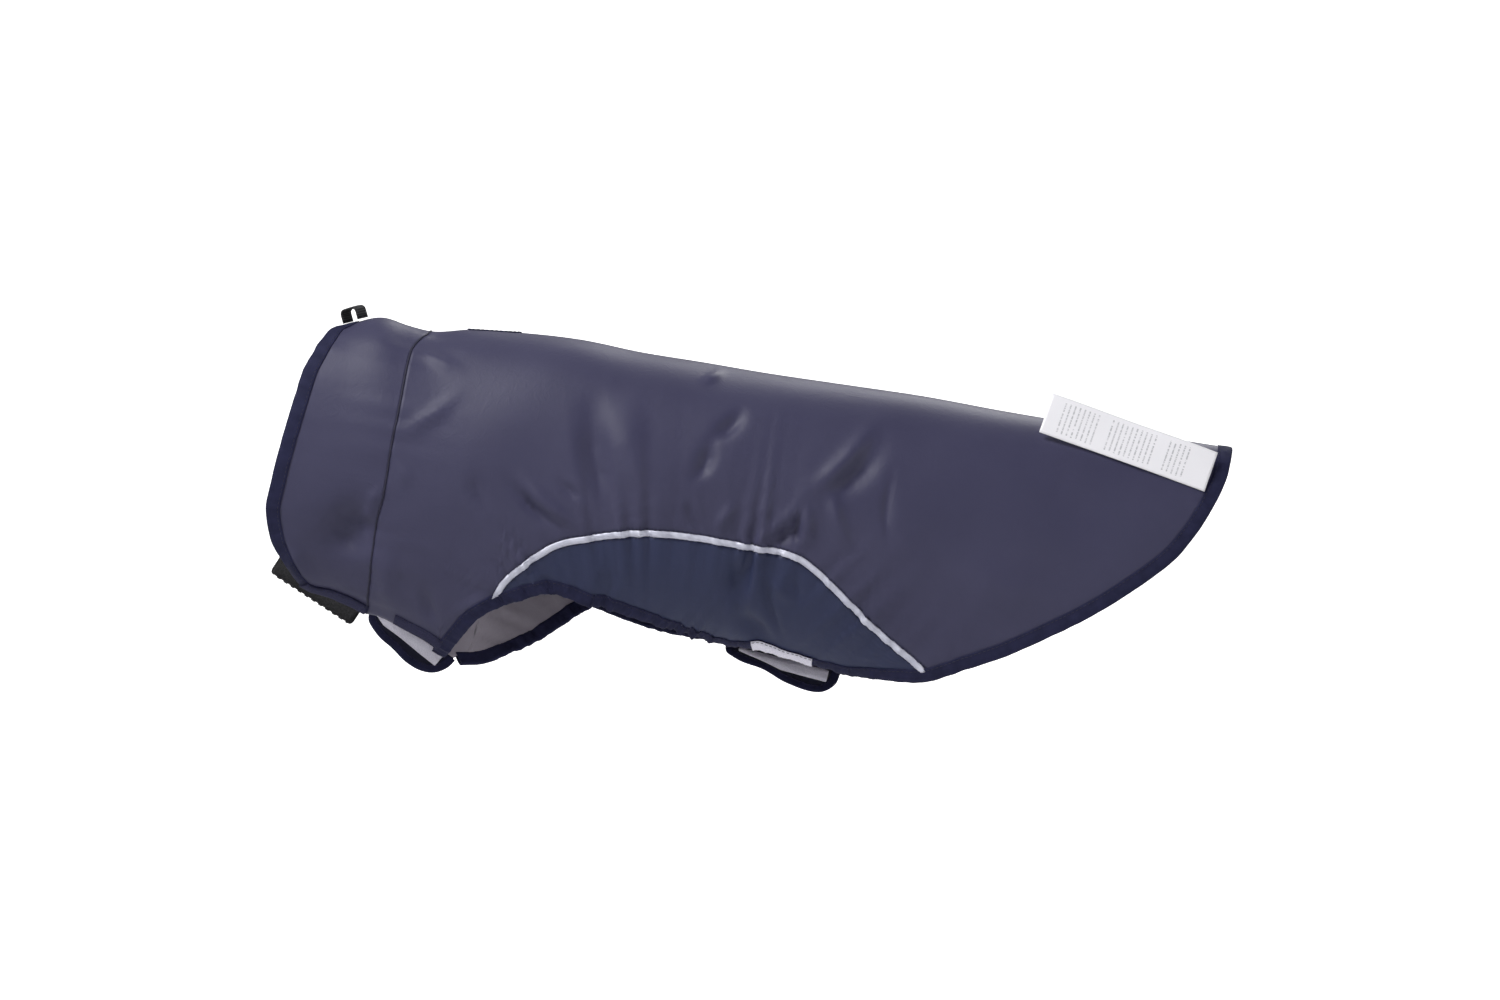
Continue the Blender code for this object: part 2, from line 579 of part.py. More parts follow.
def add_flat(name, outline, thickness, level, colour, parent):
    """A flat piece cut to an outline, lying at a level of its parent's frame."""
    curve = bpy.data.curves.new(name, "CURVE")
    curve.dimensions = "2D"
    curve.fill_mode = "BOTH"
    curve.extrude = thickness / 2
    spline = curve.splines.new("POLY")
    spline.points.add(len(outline) - 1)
    for point, (u, v) in zip(spline.points, outline):
        point.co = (u, v, 0, 1)
    spline.use_cyclic_u = True
    made = keep(name, curve, colour, parent)
    made.location = (0, 0, level)
    return made


def rounded(points, count):
    """A smooth open line through flat points."""
    knots = np.array(points)
    t = np.concatenate([[0], np.cumsum(np.linalg.norm(np.diff(knots, axis=0), axis=1))])
    slope = np.gradient(knots, t, axis=0)
    want = np.linspace(0, t[-1], count)
    at = np.clip(np.searchsorted(t, want) - 1, 0, len(t) - 2)
    span = (t[at + 1] - t[at])[:, None]
    s = ((want - t[at])[:, None]) / span
    start = (2 * s**3 - 3 * s**2 + 1) * knots[at] + (s**3 - 2 * s**2 + s) * span * slope[at]
    return start + (3 * s**2 - 2 * s**3) * knots[at + 1] + (s**3 - s**2) * span * slope[at + 1]


def pulled_in(line, distance):
    """The open line moved in towards the side that its ends start from."""
    heading = np.gradient(line, axis=0)
    heading[0], heading[-1] = (0, 1), (0, -1)
    heading /= np.linalg.norm(heading, axis=1)[:, None]
    moved = line + distance * np.column_stack([heading[:, 1], -heading[:, 0]])
    moved[:, 1] = np.maximum(moved[:, 1], 0)
    return moved


def add_tab(name, edge, lean, drop, shape, tape_shape, tape_width):
    """A bound cloth tab with fastening tape on its inner face, hanging from its hinge."""
    frame, length = hinge_frame(name + "_hinge", edge, lean)
    line = rounded([(u * length, v * drop) for u, v in shape], TAB_POINTS)
    inner = pulled_in(line, TAB_BINDING_WIDTH)
    cloth = pulled_in(line, TAB_BINDING_WIDTH + GAP)
    add_flat(name + "_binding", list(line) + list(inner[::-1]), TAB_BINDING_THICKNESS, 0, "binding", frame)
    add_flat(name, cloth, TAB_THICKNESS, 0, "binding", frame)
    tape = [(u * length, TAPE_MARGIN + v * tape_width) for u, v in tape_shape]
    level = -(TAB_THICKNESS + TAPE_THICKNESS) / 2 - GAP
    add_flat(name.replace("tab", "loop_tape"), tape, TAPE_THICKNESS, level, "tape", frame)


def add_collar_tab():
    """The black fastening strip that hangs from the right half of the collar."""
    frame, length = hinge_frame("collar_tab_hinge", "collar", COLLAR_TAB_LEAN)
    drop, corner = COLLAR_TAB_DROP, COLLAR_TAB_CORNER
    outline = [(0, 0), (length, 0), (length, drop - corner), (length - corner, drop), (corner, drop),
               (0, drop - corner)]
    add_flat("collar_tab", outline, TAB_THICKNESS, 0, "black", frame)
    rim = TAPE_MARGIN
    field = [(rim, rim), (length - rim, rim), (length - rim, drop - corner), (length - corner, drop - rim),
             (corner, drop - rim), (rim, drop - corner)]
    level = -(TAB_THICKNESS + TAPE_THICKNESS) / 2 - GAP
    add_flat("collar_tab_hooks", field, TAPE_THICKNESS, level, "black", frame)


def add_label():
    """The care label, sewn down at its tail end and lying along the left flank."""
    low = place(-1, on_skin(-1, chart([LABEL_CORNER])), SHELL_TOP + BINDING_LIP + LABEL_THICKNESS + GAP)[0]
    along = Vector(LABEL_RUN).normalized()
    up = Vector(LABEL_RISE)
    up = (up - along * along.dot(up)).normalized()
    frame = bpy.data.objects.new("care_label_hinge", None)
    turn = Matrix((along, up, along.cross(up))).transposed()
    frame.matrix_world = Matrix.Translation(Vector(low)) @ turn.to_4x4()
    coat.objects.link(frame)
    outline = [(0, 0), (LABEL_LENGTH, 0), (LABEL_LENGTH, LABEL_WIDTH), (0, LABEL_WIDTH)]
    add_flat("care_label", outline, LABEL_THICKNESS, 0, "label", frame)


def add_hang_loop():
    """The webbing loop that stands on the top of the collar's front edge."""
    feet = chart(LOOP_FEET)
    slope = math.atan2(feet[1, 1] - feet[0, 1], feet[1, 0] - feet[0, 0])
    length, height, wall = LOOP_LENGTH, LOOP_HEIGHT, LOOP_WEBBING_THICKNESS
    outline = [(0, 0), (0, height), (length, height), (length, 0), (length - wall, 0),
               (length - wall, height - wall), (wall, height - wall), (wall, 0)]
    loop = add_flat("hang_loop", outline, LOOP_WEBBING_WIDTH, 0, "black", None)
    lift = SHELL_TOP + BINDING_LIP + GAP
    loop.location = (feet[0, 0] - math.sin(slope) * lift, 0, feet[0, 1] + math.cos(slope) * lift)
    loop.rotation_euler = (math.pi / 2, -slope, 0)


def slit_ring(grow, count=24):
    """A long rounded ring round the leash slit, as (x, y) offsets."""
    radius = SLIT_WIDTH / 2 + grow
    ring = []
    for i in range(count):
        angle = 2 * math.pi * (i + 0.5) / count
        end = SLIT_LENGTH - SLIT_WIDTH if math.cos(angle) > 0 else 0
        ring.append((SLIT_START + SLIT_WIDTH / 2 + end + radius * math.cos(angle), radius * math.sin(angle)))
    return np.array(ring + ring[:1])


def add_leash_slit(cloths):
    """The bound slit over the withers, with its hole cut through the shell and the lining."""
    rows = []
    for grow in (0, SLIT_BINDING_WIDTH):
        ring = slit_ring(grow)
        _, _, width = body(1, ring[:, 0])
        spots = np.column_stack([ring[:, 0], ring[:, 1] / width])
        rows.append(place(1, spots, -BINDING_LIP))
    add_sheet("leash_slit_binding", [np.stack(rows)], SHELL_TOP + 2 * BINDING_LIP, "binding")
    mesh = bmesh.new()
    corners = [mesh.verts.new((x, y, -SLIT_CUT_REACH)) for x, y in slit_ring(SLIT_BINDING_WIDTH + GAP)[:-1]]
    face = mesh.faces.new(corners)
    raised = bmesh.ops.extrude_face_region(mesh, geom=[face])["geom"]
    tops = [item for item in raised if isinstance(item, bmesh.types.BMVert)]
    bmesh.ops.translate(mesh, verts=tops, vec=(0, 0, 2 * SLIT_CUT_REACH))
    bmesh.ops.recalc_face_normals(mesh, faces=mesh.faces)
    cutter = bpy.data.objects.new("slit_cutter", as_mesh("slit_cutter", mesh))
    cutter.hide_render = True
    cutter.display_type = "WIRE"
    cutters.objects.link(cutter)
    for cloth in cloths:
        cut = cloth.modifiers.new("slit", "BOOLEAN")
        cut.object = cutter
        cut.solver = "EXACT"


for old in list(bpy.data.objects):
    bpy.data.objects.remove(old)
coat = bpy.data.collections.new("dog_rain_coat")
cutters = bpy.data.collections.new("cutters")
bpy.context.scene.collection.children.link(coat)
bpy.context.scene.collection.children.link(cutters)

cloths, left_outline = add_torso()
add_collar()
add_near_tapes(left_outline)
add_tab("chest_tab", "chest", CHEST_TAB_LEAN, CHEST_TAB_DROP, CHEST_TAB_SHAPE, CHEST_TAPE_SHAPE,
        CHEST_TAPE_WIDTH)
add_tab("belly_tab", "belly", BELLY_TAB_LEAN, BELLY_TAB_DROP, BELLY_TAB_SHAPE, BELLY_TAPE_SHAPE,
        BELLY_TAPE_WIDTH)
add_collar_tab()
add_label()
add_hang_loop()
add_leash_slit(cloths)
bpy.context.view_layer.update()
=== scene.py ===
"""Dog rain coat: piped taffeta back, standing collar, elastic belly edges and hook-and-loop closure tabs.

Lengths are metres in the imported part's frame: the head end towards -X, the tail towards +X, the left
half at -Y. The coat's outlines are drawn in the side view, in millimetres, as (x, z).
"""
import json
import math

import bmesh
import bpy
import numpy as np
from mathutils import Matrix, Vector


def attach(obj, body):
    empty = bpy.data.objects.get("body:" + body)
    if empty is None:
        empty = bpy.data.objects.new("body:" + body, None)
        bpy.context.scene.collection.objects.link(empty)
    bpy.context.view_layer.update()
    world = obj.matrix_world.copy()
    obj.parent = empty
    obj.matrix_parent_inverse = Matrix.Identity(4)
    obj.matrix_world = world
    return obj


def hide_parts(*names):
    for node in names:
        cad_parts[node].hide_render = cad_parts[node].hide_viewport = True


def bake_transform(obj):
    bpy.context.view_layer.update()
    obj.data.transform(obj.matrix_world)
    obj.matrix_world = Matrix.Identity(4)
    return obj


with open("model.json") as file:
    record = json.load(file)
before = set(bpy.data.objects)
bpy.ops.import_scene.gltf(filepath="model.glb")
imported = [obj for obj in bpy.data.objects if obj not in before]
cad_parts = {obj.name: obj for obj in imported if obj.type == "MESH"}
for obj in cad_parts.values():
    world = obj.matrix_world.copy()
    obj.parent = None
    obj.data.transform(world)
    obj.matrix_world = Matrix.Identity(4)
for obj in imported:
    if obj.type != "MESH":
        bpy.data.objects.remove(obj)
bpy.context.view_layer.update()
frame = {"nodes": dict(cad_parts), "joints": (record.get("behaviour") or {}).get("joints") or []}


# ---- studio ----
# A round pale floor curves up into a glowing wall. A large softbox stands high on the left, with weak fills.
# The camera stands level with the coat on its left side, far enough away for a flat side view.
def linear(hex_colour):
    """An sRGB hex colour as the linear RGBA that a shader takes."""
    parts = [int(hex_colour[i:i + 2], 16) / 255 for i in (1, 3, 5)]
    return tuple(c / 12.92 if c <= 0.04045 else ((c + 0.055) / 1.055) ** 2.4 for c in parts) + (1,)


def new_material(name):
    """A node material with its Principled shader, and a function that adds a node with settings and links."""
    made = bpy.data.materials.new(name)
    made.use_nodes = True
    tree = made.node_tree
    shader = tree.nodes["Principled BSDF"]

    def add(kind, inputs=(), **settings):
        node = tree.nodes.new("ShaderNode" + kind)
        for key, value in settings.items():
            setattr(node, key, value)
        for key, value in dict(inputs).items():
            if isinstance(value, bpy.types.NodeSocket):
                tree.links.new(value, node.inputs[key])
            else:
                node.inputs[key].default_value = value
        return node

    return made, shader, add


def link(material, output, socket):
    """Joins an output to a socket in a material."""
    material.node_tree.links.new(output, socket)


SWEEP_RADIUS = 8.0
SWEEP_DROP = 1.1
SWEEP_TOP = 1.2
SWEEP_BEND = 0.5
SWEEP_GLOW = 0.15
VIEW_CENTRE = (0.2194, 0, -0.1127)
LENS = 200
VIEW_WIDTH = 1.0125

mesh = bmesh.new()
profile = [(0, -SWEEP_DROP)]
profile += [(SWEEP_RADIUS - SWEEP_BEND * (1 - math.sin(t)), SWEEP_BEND * (1 - math.cos(t)) - SWEEP_DROP)
            for t in np.linspace(0, math.pi / 2, 9)]
profile += [(SWEEP_RADIUS, SWEEP_TOP)]
line = [mesh.verts.new((r, 0, z)) for r, z in profile]
edges = [mesh.edges.new(pair) for pair in zip(line, line[1:])]
bmesh.ops.spin(mesh, geom=line + edges, cent=(0, 0, 0), axis=(0, 0, 1), angle=2 * math.pi, steps=64)
bmesh.ops.remove_doubles(mesh, verts=mesh.verts, dist=0.001)
bmesh.ops.recalc_face_normals(mesh, faces=mesh.faces)
bmesh.ops.reverse_faces(mesh, faces=mesh.faces)
data = bpy.data.meshes.new("studio_sweep")
mesh.to_mesh(data)
mesh.free()
data.shade_smooth()
sweep = bpy.data.objects.new("studio_sweep", data)
bpy.context.scene.collection.objects.link(sweep)
paper, shader, add = new_material("white_seamless_paper")
shader.inputs["Base Color"].default_value = linear("#fbfbfb")
shader.inputs["Roughness"].default_value = 0.9
shader.inputs["Specular IOR Level"].default_value = 0.1
shader.inputs["Emission Color"].default_value = linear("#ffffff")
height = add("SeparateXYZ", {"Vector": add("TexCoord").outputs["Object"]}).outputs["Z"]
glow = add("MapRange", {"Value": height, "From Min": -SWEEP_DROP, "From Max": SWEEP_GLOW - SWEEP_DROP,
                        "To Max": 1.0})
link(paper, glow.outputs["Result"], shader.inputs["Emission Strength"])
data.materials.append(paper)

LIGHTS = [("softbox_key", (-1.0, -1.1, 1.9), (1.1, 1.1), 66),
          ("softbox_tail", (2.1, -0.9, 0.5), (0.7, 0.9), 4),
          ("softbox_back", (0.9, 1.6, 1.7), (1.0, 1.0), 26)]
for name, place_at, size, power in LIGHTS:
    lamp = bpy.data.lights.new(name, "AREA")
    lamp.shape = "RECTANGLE"
    lamp.size, lamp.size_y = size
    lamp.energy = power
    made = bpy.data.objects.new(name, lamp)
    made.location = place_at
    made.rotation_euler = (Vector(VIEW_CENTRE) - Vector(place_at)).to_track_quat("-Z", "Y").to_euler()
    bpy.context.scene.collection.objects.link(made)
world = bpy.data.worlds.new("studio_air")
world.use_nodes = True
world.node_tree.nodes["Background"].inputs["Color"].default_value = linear("#ffffff")
world.node_tree.nodes["Background"].inputs["Strength"].default_value = 0.06
bpy.context.scene.world = world
bpy.context.scene.view_settings.view_transform = "Standard"

camera = bpy.data.cameras.new("camera")
camera.lens = LENS
camera.sensor_width = 36
eye = bpy.data.objects.new("camera", camera)
eye.location = (VIEW_CENTRE[0], -VIEW_WIDTH * LENS / camera.sensor_width, VIEW_CENTRE[2])
eye.rotation_euler = (math.pi / 2, 0, 0)
bpy.context.scene.collection.objects.link(eye)
bpy.context.scene.camera = eye


# ---- the coat's form ----
# All panels are cut to lie on one egg-shaped skin round the dog. A place on it is (x, a), with the angle
# a from 0 on the spine to pi under the belly. Side -1 is the left half and side 1 the right half.
BACK_LINE = [(-110, -4), (-80, 0), (-54, 4), (-27, 9), (-12, 4), (4, 0), (30, 1), (64, -1), (107, -6),
             (145, -14), (188, -21), (229, -28), (283, -36), (337, -44), (391, -54), (470, -67), (545, -79)]
BELLY_LINE = {
    -1: [(-110, -160), (-83, -170), (-38, -191), (15, -220), (60, -223), (112, -214), (179, -208),
         (230, -217), (261, -226), (287, -238), (340, -272), (420, -310), (545, -325)],
    1: [(-110, -160), (-83, -170), (-38, -190), (-6, -212), (10, -223), (24, -233), (60, -230), (112, -216),
        (179, -210), (200, -213), (221, -218), (242, -224), (263, -230), (284, -236), (340, -272),
        (420, -310), (545, -325)],
}
HALF_WIDTHS = [(-110, 48), (-60, 52), (-38, 54), (0, 58), (60, 65), (120, 68), (200, 67), (290, 65),
               (400, 60), (480, 51), (545, 38)]
NECK_SEAM = [(4, 0), (-6, -9), (-10, -20), (-16, -55), (-20, -75), (-25, -107), (-31, -130), (-34, -153)]
HEM = [(287, -231), (314, -234), (338, -234), (364, -226), (391, -217), (418, -205), (445, -192),
       (472, -176), (499, -157), (512, -144), (526, -125), (539, -101), (545, -79)]
PIPING_ARCH = [(44, -188), (50, -176), (56, -167), (73, -153), (90, -143), (108, -139), (143, -135),
               (177, -137), (217, -144), (245, -149), (262, -159), (284, -180), (304, -200), (318, -212),
               (336, -227)]
EDGES = {
    -1: {"chest": [(-38, -188), (-28, -190.5), (-13, -199), (3, -207.5), (15, -217)],
         "leg": [(15, -217), (26, -204), (36, -193), (47, -186), (72, -178), (84, -175), (98, -178),
                 (112, -183)],
         "belly": [(112, -183), (125, -186), (155, -196), (179, -203), (209, -210), (230, -213),
                   (261, -222), (287, -231)],
         "piping": [(46, -183)] + PIPING_ARCH[1:],
         "collar": [(-38, -188), (-54, -180), (-72, -173), (-83, -166), (-92, -155), (-101, -141),
                    (-105, -120), (-101, -99), (-94, -72), (-82, -32), (-76, -18), (-64, 0), (-54, 4)]},
    1: {"chest": [(-36, -177), (-6, -201), (24, -224)],
        "leg": [(24, -224), (38, -223), (53, -218), (72, -210), (88, -200), (103, -190), (112, -185)],
        "belly": [(112, -185), (151, -199), (180, -205), (200, -208), (242, -219), (287, -231)],
        "piping": [(29, -216), (35, -204)] + PIPING_ARCH[:1] + PIPING_ARCH[2:],
        "collar": [(-36, -177), (-60, -161), (-85, -145), (-97, -137), (-103, -127), (-104, -115),
                   (-101, -99), (-94, -72), (-82, -32), (-76, -18), (-64, 0), (-54, 4)]},
}
COLLAR_CORNERS = {-1: (-83, -166), 1: (-97, -137)}
HEM_CORNER = (512, -144)
LINING_THICKNESS = 0.0004
SHELL_BASE = 0.0008
SHELL_THICKNESS = 0.0005
SHELL_TOP = 0.0014
BINDING_WIDTH = 0.010
SEAM_ALLOWANCE = 0.0022
PIPING_WIDTH = 0.0045
FINE = 1200
WELD = 0.00002
SIDES = {-1: "left", 1: "right"}


def chart(points):
    """Side-view millimetres as metres."""
    return np.array(points, dtype=float) / 1000


def smooth(stations, x):
    """Height of a smooth line through the stations, at x."""
    table = chart(stations)
    slope = np.gradient(table[:, 1], table[:, 0])
    at = np.clip(np.searchsorted(table[:, 0], x) - 1, 0, len(table) - 2)
    span = table[at + 1, 0] - table[at, 0]
    t = (x - table[at, 0]) / span
    start = (2 * t**3 - 3 * t**2 + 1) * table[at, 1] + (t**3 - 2 * t**2 + t) * span * slope[at]
    end = (3 * t**2 - 2 * t**3) * table[at + 1, 1] + (t**3 - t**2) * span * slope[at + 1]
    return start + end


def trace(points, count):
    """Equally spaced points on a smooth curve through the outline's points."""
    knots = chart(points)
    padded = np.vstack([2 * knots[0] - knots[1], knots, 2 * knots[-1] - knots[-2]])
    t = np.linspace(0, 1, 24, endpoint=False)[:, None]
    pieces = []
    for p0, p1, p2, p3 in zip(padded, padded[1:], padded[2:], padded[3:]):
        pieces.append(p1 + 0.5 * (p2 - p0) * t + (p0 - 2.5 * p1 + 2 * p2 - 0.5 * p3) * t**2
                      + (1.5 * p1 - 0.5 * p0 - 1.5 * p2 + 0.5 * p3) * t**3)
    fine = np.vstack(pieces + [knots[-1:]])
    run = lengths(fine)
    want = np.linspace(0, run[-1], count)
    return np.column_stack([np.interp(want, run, fine[:, 0]), np.interp(want, run, fine[:, 1])])


def lengths(points):
    """Distance travelled along a line of points."""
    return np.concatenate([[0], np.cumsum(np.linalg.norm(np.diff(points, axis=0), axis=1))])


def body(side, x):
    """Centre height, half height and half width of the skin at x."""
    top = smooth(BACK_LINE, x)
    bottom = smooth(BELLY_LINE[side], x)
    return (top + bottom) / 2, (top - bottom) / 2, smooth(HALF_WIDTHS, x)


def on_skin(side, path):
    """Side-view points as places (x, a) on the skin."""
    centre, half_height, _ = body(side, path[:, 0])
    return np.column_stack([path[:, 0], np.arccos(np.clip((path[:, 1] - centre) / half_height, -1, 1))])


def on_body(side, spots):
    """World points of places on the skin itself."""
    x, a = spots[..., 0], spots[..., 1]
    centre, half_height, width = body(side, x)
    return np.stack([x, side * width * np.sin(a), centre + half_height * np.cos(a)], axis=-1)


def tangents(side, spots):
    """How the skin runs for a small step along the body and for a small step round it."""
    step = 0.0002
    along_x = (on_body(side, spots + (step, 0)) - on_body(side, spots - (step, 0))) / (2 * step)
    along_a = (on_body(side, spots + (0, step)) - on_body(side, spots - (0, step))) / (2 * step)
    return along_x, along_a


def lie(side, spots, out=0.0):
    """World points of places on the unfolded skin, moved straight out from it by a distance."""
    along_x, along_a = tangents(side, spots)
    normal = side * np.cross(along_x, along_a)
    reach = np.asarray(out)[..., None]
    return on_body(side, spots) + reach * normal / np.linalg.norm(normal, axis=-1, keepdims=True)


def inset(side, path, distance, spine_step=0.0):
    """The path moved into the panel along the skin. A spine_step keeps its last point on the spine."""
    along_x, along_a = tangents(side, path)
    tangent = np.gradient(on_body(side, path), axis=0)
    inward = np.cross(np.cross(along_x, along_a), tangent)
    inward /= np.linalg.norm(inward, axis=1)[:, None]
    xx, xa = np.sum(along_x * along_x, axis=1), np.sum(along_x * along_a, axis=1)
    aa = np.sum(along_a * along_a, axis=1)
    rx, ra = np.sum(along_x * inward, axis=1), np.sum(along_a * inward, axis=1)
    det = xx * aa - xa * xa
    move = np.column_stack([(rx * aa - ra * xa) / det, (ra * xx - rx * xa) / det])
    if move[0, 1] > 0:
        move = -move
    moved = path + np.asarray(distance).reshape(-1, 1) * move
    if spine_step:
        moved[-1] = path[-1] + (spine_step * np.ravel(distance)[-1], 0)
    return moved


# ---- how the cloth folds ----
# Thin taffeta gathers where elastic, piping and seams hold it, and creases where the coat is pulled.
# Every layer takes the same folds, so linings, panels and bindings stay together.
# A crease is a line in the side view from one end to the other, its half width and its height in mm.
LEFT_CREASES = [
    ((-17, -68), (25, -42), 4, 1.0), ((-18, -87), (-3, -102), 3.5, 0.9), ((-1, -13), (27, -26), 4, 0.8),
    ((57, -98), (99, -134), 3, -1.5), ((64, -94), (108, -132), 4, 1.4), ((90, -98), (110, -113), 2.5, -1.0),
    ((34, -92), (47, -119), 5, -1.0), ((113, -45), (130, -125), 9, -2.2),
    ((135, -45), (153, -123), 10, 1.2), ((182, -102), (194, -72), 5, -1.6),
    ((194, -72), (216, -53), 5, -1.6), ((186, -34), (202, -26), 3, 0.8),
    ((178, -111), (187, -137), 3, -1.2), ((196, -133), (209, -113), 3, 1.2),
    ((221, -143), (255, -113), 4, 1.8), ((254, -113), (251, -145), 2.5, -1.6),
    ((233, -140), (251, -126), 7, -2.0), ((255, -111), (302, -63), 6, 1.4),
    ((268, -113), (310, -72), 8, -1.6), ((273, -104), (287, -148), 5, 1.4),
    ((257, -116), (262, -143), 3, 1.0), ((315, -94), (312, -144), 3, -0.8),
    ((218, -148), (209, -184), 6, -2.6), ((209, -184), (236, -209), 6, -2.2),
    ((230, -161), (242, -207), 2.5, -1.4), ((237, -163), (246, -180), 3, 1.2),
    ((250, -161), (253, -180), 2.5, -0.8), ((-66, -150), (-36, -116), 14, -4.0),
    ((-91, -136), (-70, -173), 6, 2.0), ((-38, -113), (-25, -107), 3, 1.2),
    ((-40, -126), (-32, -116), 2.5, 1.0), ((-25, -145), (-17, -188), 7, 1.4),
    ((1, -170), (10, -197), 4, -1.2), ((17, -187), (51, -173), 3, 0.8), ((350, -150), (430, -185), 14, 1.0),
    ((400, -90), (470, -130), 18, -1.0)]
RIGHT_CREASES = [
    ((-15, -60), (20, -40), 5, 1.0), ((-18, -95), (4, -112), 4, 0.9), ((60, -90), (105, -130), 4, -1.5),
    ((75, -85), (118, -126), 5, 1.3), ((125, -40), (140, -120), 9, -1.8), ((185, -60), (170, -120), 6, 1.3),
    ((215, -50), (230, -140), 8, -1.7), ((262, -60), (240, -138), 6, 1.4),
    ((300, -70), (275, -160), 9, -1.8), ((345, -90), (330, -190), 12, 1.2),
    ((420, -95), (440, -165), 14, -1.1), ((150, -150), (160, -185), 5, -1.8),
    ((205, -155), (215, -195), 5, 1.6), ((-70, -60), (-55, -120), 12, -2.5),
    ((-40, -60), (-32, -110), 5, 1.2)]
# Lines that gather the cloth: wave length in mm, height in mm, reach in mm and a seed.
GATHERS = {"piping": (17, 3.8, 34, 1), "leg": (10, 1.6, 16, 2), "belly": (13, 3.8, 22, 3),
           "seam": (19, 1.9, 26, 4), "hem": (19, 1.2, 16, 5), "collar": (23, 1.2, 18, 6)}
CREASE_SCALE = 2.6
TAB_EDGE_CALM = 0.2
STIFF_TAPE = 0.8
SPINE_CALM = 0.45


def waver(s, wave, seed):
    """An uneven ripple along a line, from about -1 to 1."""
    turn = 2 * math.pi * s / wave
    drift = 1.1 * np.sin(turn / 3.7 + 1.3 * seed) + 0.6 * np.sin(turn / 2.3 + 2.1 * seed)
    swell = 0.65 + 0.35 * np.sin(turn / 5.3 + 0.7 * seed)
    ridge = 1 - 2 * np.abs(np.sin((turn + drift) / 2)) ** 1.2
    return swell * (0.75 * ridge + 0.3 * np.sin(1.9 * turn - drift + seed))


def gather_lines(side):
    """The lines that gather the cloth, as world points with the distance along them."""
    lines = {}
    for name in GATHERS:
        if name == "seam":
            path = trace(NECK_SEAM + [EDGES[side]["chest"][0]], 160)
        else:
            path = trace(HEM if name == "hem" else EDGES[side][name], 160)
        lines[name] = on_body(side, on_skin(side, path))
    return lines


LINES = {side: gather_lines(side) for side in SIDES}
TAB_SEAM = on_body(1, on_skin(1, trace(EDGES[1]["chest"], 60)))
TAB_SEAM_CALM = 0.03


def fold_height(side, spots):
    """How far the folds lift the cloth at places on the skin."""
    flat = spots.reshape(-1, 2)
    world = on_body(side, flat)
    lift = np.zeros(len(flat))
    for start in range(0, len(flat), 4000):
        part = world[start:start + 4000]
        for name, (wave, height, reach, seed) in GATHERS.items():
            line = LINES[side][name]
            gap = np.linalg.norm(part[:, None] - line[None], axis=2)
            near = gap.argmin(axis=1)
            away = gap[np.arange(len(part)), near] * 1000
            calm = TAB_EDGE_CALM if side > 0 and name == "belly" else 1
            if side < 0 and name == "belly":
                calm = 1 - STIFF_TAPE * np.exp(-((part[:, 0] - 0.242) / 0.03) ** 4)
            ripple = waver(lengths(line)[near] * 1000, wave, seed + side)
            fade = 0.62 + 0.38 * waver(lengths(line)[near] * 1000, 41, seed)
            lift[start:start + 4000] += calm * height * ripple * fade * np.exp(-(away / reach) ** 1.3)
    x, z = world[:, 0] * 1000, world[:, 2] * 1000
    for (x0, z0), (x1, z1), width, height in LEFT_CREASES if side < 0 else RIGHT_CREASES:
        run = math.hypot(x1 - x0, z1 - z0)
        t = ((x - x0) * (x1 - x0) + (z - z0) * (z1 - z0)) / run**2
        off = ((x - x0) * (z1 - z0) - (z - z0) * (x1 - x0)) / run
        bend = off - 0.06 * run * np.sin(math.pi * np.clip(t, 0, 1))
        ends = np.clip(1.25 - np.abs(t - 0.5) * 2, 0, 1) ** 1.5
        lift += CREASE_SCALE * height * ends * np.exp(-(bend / width) ** 2)
    lift += 0.5 * np.sin(x / 31 + 1) * np.sin(z / 23 + side) + 0.3 * np.sin(x / 13 - z / 17)
    calm = np.clip(flat[:, 1] / SPINE_CALM, 0, 1)
    calm = calm * calm * (3 - 2 * calm)
    if side > 0:
        gap = np.linalg.norm(world[:, None] - TAB_SEAM[None], axis=2).min(axis=1)
        calm *= 1 - np.exp(-(gap / TAB_SEAM_CALM) ** 2)
    return (lift * calm / 1000).reshape(spots.shape[:-1])


def place(side, spots, out=0.0):
    """World points of places on the folded cloth, moved out from it by a distance."""
    return lie(side, spots, out + fold_height(side, spots))


# ---- cloth panels ----
# Each panel is one cut of coated polyester taffeta. Its grid runs along the body and round it, and a
# thread coordinate in metres goes with it for the weave.
def add_grid(mesh, points, thread):
    """A grid of faces whose corners take rows of points, with their thread coordinates."""
    rows, columns = points.shape[:2]
    layer = mesh.verts.layers.float_vector.get("thread") or mesh.verts.layers.float_vector.new("thread")
    made = bmesh.ops.create_grid(mesh, x_segments=columns - 1, y_segments=rows - 1, size=0.5)
    for vert in made["verts"]:
        column = round((vert.co.x + 0.5) * (columns - 1))
        row = round((vert.co.y + 0.5) * (rows - 1))
        vert.co = points[row, column]
        vert[layer] = thread[row, column]


def threads(points):
    """Thread coordinates of a grid of points: the run along its middle row and down each column."""
    rows, columns = points.shape[:2]
    along = lengths(points[rows // 2])
    down = np.concatenate([np.zeros((1, columns)),
                           np.cumsum(np.linalg.norm(np.diff(points, axis=0), axis=2), axis=0)])
    return np.stack([np.broadcast_to(along, (rows, columns)), down, np.zeros((rows, columns))], axis=-1)


